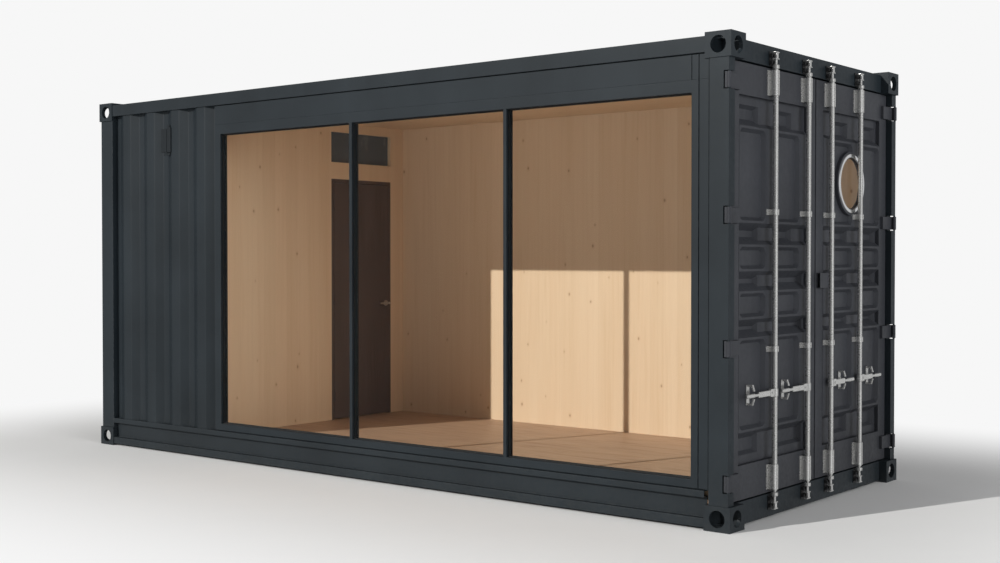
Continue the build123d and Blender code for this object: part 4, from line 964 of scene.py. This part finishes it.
class CABIN_OT_fasteners(bpy.types.Operator):
    """Set the bolts of the bar brackets"""

    bl_idname = "cabin.fasteners"
    bl_label = "Fasteners"

    def execute(self, context):
        radius = context.scene.cabin_fitting.bolt
        for side, name in ((-1.0, "near"), (1.0, "far")):
            zinc = bmesh.new()
            for y in (OUTER_BAR_Y, INNER_BAR_Y):
                for z, reach, half in BOLT_ROWS:
                    ups = (-reach, reach) if reach else (0.0,)
                    for across in (-half, half):
                        for up in ups:
                            centre = (DOOR_FACE + STRAP_WALL, side * y + across, z + up)
                            bolt_head(zinc, centre, radius * 0.8)
            settle(zinc, name + "_bracket_bolts", "galvanised", name + "_leaf", 30.0)
        return {"FINISHED"}


class CABIN_OT_stage(bpy.types.Operator):
    """Lay the floor, set the lamps and aim the camera"""

    bl_idname = "cabin.stage"
    bl_label = "Stage"

    def execute(self, context):
        scene = context.scene
        stage = scene.cabin_stage
        ground = bmesh.new()
        bmesh.ops.create_circle(ground, cap_ends=True, segments=96, radius=60.0)
        mesh = bpy.data.meshes.new("studio_floor")
        ground.to_mesh(mesh)
        ground.free()
        floor = bpy.data.objects.new("studio_floor", mesh)
        scene.collection.objects.link(floor)
        mesh.materials.append(studio_floor())
        floor.visible_glossy = False

        world = bpy.data.worlds.new("studio_sky")
        scene.world = world
        world.use_nodes = True
        tree = world.node_tree
        back = tree.nodes["Background"]
        path = add(tree, "ShaderNodeLightPath")
        seen = calc(tree, "MAXIMUM", path.outputs["Is Camera Ray"], path.outputs["Is Transmission Ray"])
        around = add(tree, "ShaderNodeTexCoord").outputs["Generated"]
        walls = SOFT_LEVEL
        for towards, outer, inner, share in SOFT_WALLS:
            patch = calc(tree, "MULTIPLY", soft_wall(tree, around, towards, outer, inner), share)
            walls = calc(tree, "ADD", patch, walls)
        mirrored = path.outputs["Is Glossy Ray"]
        level = blend_value(tree, mirrored, stage.sky, walls)
        level = blend_value(tree, seen, level, BACKDROP)
        back.inputs[0].default_value = (1.0, 1.0, 1.0, 1.0)
        tree.links.new(level, back.inputs[1])

        sun = bpy.data.lights.new("sun", "SUN")
        sun.energy = stage.sun
        sun.angle = math.radians(0.5)
        sun.color = (1.0, 0.985, 0.95)
        lamp = bpy.data.objects.new("sun", sun)
        lamp.rotation_euler = Vector(SUN_TRAVEL).to_track_quat("-Z", "Y").to_euler()
        scene.collection.objects.link(lamp)

        soft = bpy.data.lights.new("side_light", "SUN")
        soft.energy = stage.side
        soft.angle = math.radians(50.0)
        glow = bpy.data.objects.new("side_light", soft)
        glow.rotation_euler = Vector(SIDE_TRAVEL).to_track_quat("-Z", "Y").to_euler()
        glow.visible_glossy = False
        scene.collection.objects.link(glow)

        lens = bpy.data.cameras.new("camera")
        lens.lens = stage.lens
        lens.sensor_width = 36.0
        lens.clip_end = 200.0
        camera = bpy.data.objects.new("camera", lens)
        camera.location = CAMERA_PLACE
        camera.rotation_euler = Euler((math.radians(90.0 - CAMERA_DIP), 0.0, math.radians(CAMERA_TURN)))
        scene.collection.objects.link(camera)
        scene.camera = camera
        scene.view_settings.view_transform = "Standard"
        return {"FINISHED"}


def soft_wall(tree, around, towards, outer, inner):
    """Bright patch of the studio round one direction, with its half angles in degrees."""
    aim = Vector(towards).normalized()
    near = add(tree, "ShaderNodeVectorMath", {0: around, 1: aim}, operation="DOT_PRODUCT").outputs["Value"]
    low, high = math.cos(math.radians(outer)), math.cos(math.radians(inner))
    return smooth_step(tree, near, low, high)


def smooth_step(tree, value, low, high):
    """Soft rise from 0 to 1 between two values."""
    inputs = {0: value, 1: low, 2: high, 3: 0.0, 4: 1.0}
    return add(tree, "ShaderNodeMapRange", inputs, interpolation_type="SMOOTHSTEP").outputs[0]


def studio_floor():
    """Pale floor that keeps shadows near the cabin and fades into the backdrop far away."""
    material, tree, shader = finish("studio_floor")
    place = object_place(tree)
    across = add(tree, "ShaderNodeSeparateXYZ", {0: place}).outputs[:2]
    beyond = []
    for position, half in zip(across, CABIN_HALF):
        away = calc(tree, "SUBTRACT", calc(tree, "ABSOLUTE", position), half)
        beyond.append(calc(tree, "POWER", calc(tree, "MAXIMUM", away, 0.0), 2.0))
    run = calc(tree, "SQRT", calc(tree, "ADD", beyond[0], beyond[1]))
    far = smooth_step(tree, run, 0.3, 3.4)
    mottle = grain(tree, place, (1.0, 1.0, 1.0), 3.0, 3.0)
    base = blend_colour(tree, mottle, (0.86, 0.86, 0.86, 1.0), (0.88, 0.88, 0.88, 1.0))
    tree.links.new(base, shader.inputs["Base Color"])
    shader.inputs["Roughness"].default_value = 0.9
    shader.inputs["Specular IOR Level"].default_value = 0.1
    glow = add(tree, "ShaderNodeEmission", {0: (1.0, 1.0, 1.0, 1.0), 1: BACKDROP}).outputs[0]
    mixed = add(tree, "ShaderNodeMixShader", {0: far, 1: shader.outputs[0], 2: glow}).outputs[0]
    tree.links.new(mixed, tree.nodes["Material Output"].inputs[0])
    return material


STEPS = (
    CABIN_OT_shell,
    CABIN_OT_walls,
    CABIN_OT_leaves,
    CABIN_OT_lock_gear,
    CABIN_OT_glazing,
    CABIN_OT_round_window,
    CABIN_OT_room,
    CABIN_OT_vent,
    CABIN_OT_fasteners,
    CABIN_OT_stage,
)
GROUPS = (
    ("cabin_paint", PaintSettings),
    ("cabin_timber", TimberSettings),
    ("cabin_glass", GlassSettings),
    ("cabin_fitting", FittingSettings),
    ("cabin_stage", StageSettings),
)


class CABIN_PT_panel(bpy.types.Panel):
    """Steps that dress the cabin"""

    bl_idname = "CABIN_PT_panel"
    bl_label = "Container cabin"
    bl_space_type = "VIEW_3D"
    bl_region_type = "UI"
    bl_category = "Cabin"

    def draw(self, context):
        for step in STEPS:
            self.layout.operator(step.bl_idname)
        for key, group in GROUPS:
            box = self.layout.box()
            for entry in group.__annotations__:
                box.prop(getattr(context.scene, key), entry)


def register():
    for key, group in GROUPS:
        bpy.utils.register_class(group)
        setattr(bpy.types.Scene, key, PointerProperty(type=group))
    for step in STEPS:
        bpy.utils.register_class(step)
    bpy.utils.register_class(CABIN_PT_panel)


def unregister():
    bpy.utils.unregister_class(CABIN_PT_panel)
    for step in reversed(STEPS):
        bpy.utils.unregister_class(step)
    for key, group in reversed(GROUPS):
        delattr(bpy.types.Scene, key)
        bpy.utils.unregister_class(group)


def main():
    """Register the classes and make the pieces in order."""
    register()
    for step in STEPS:
        part, action = step.bl_idname.split(".")
        getattr(getattr(bpy.ops, part), action)()


if __name__ == "__main__":
    main()
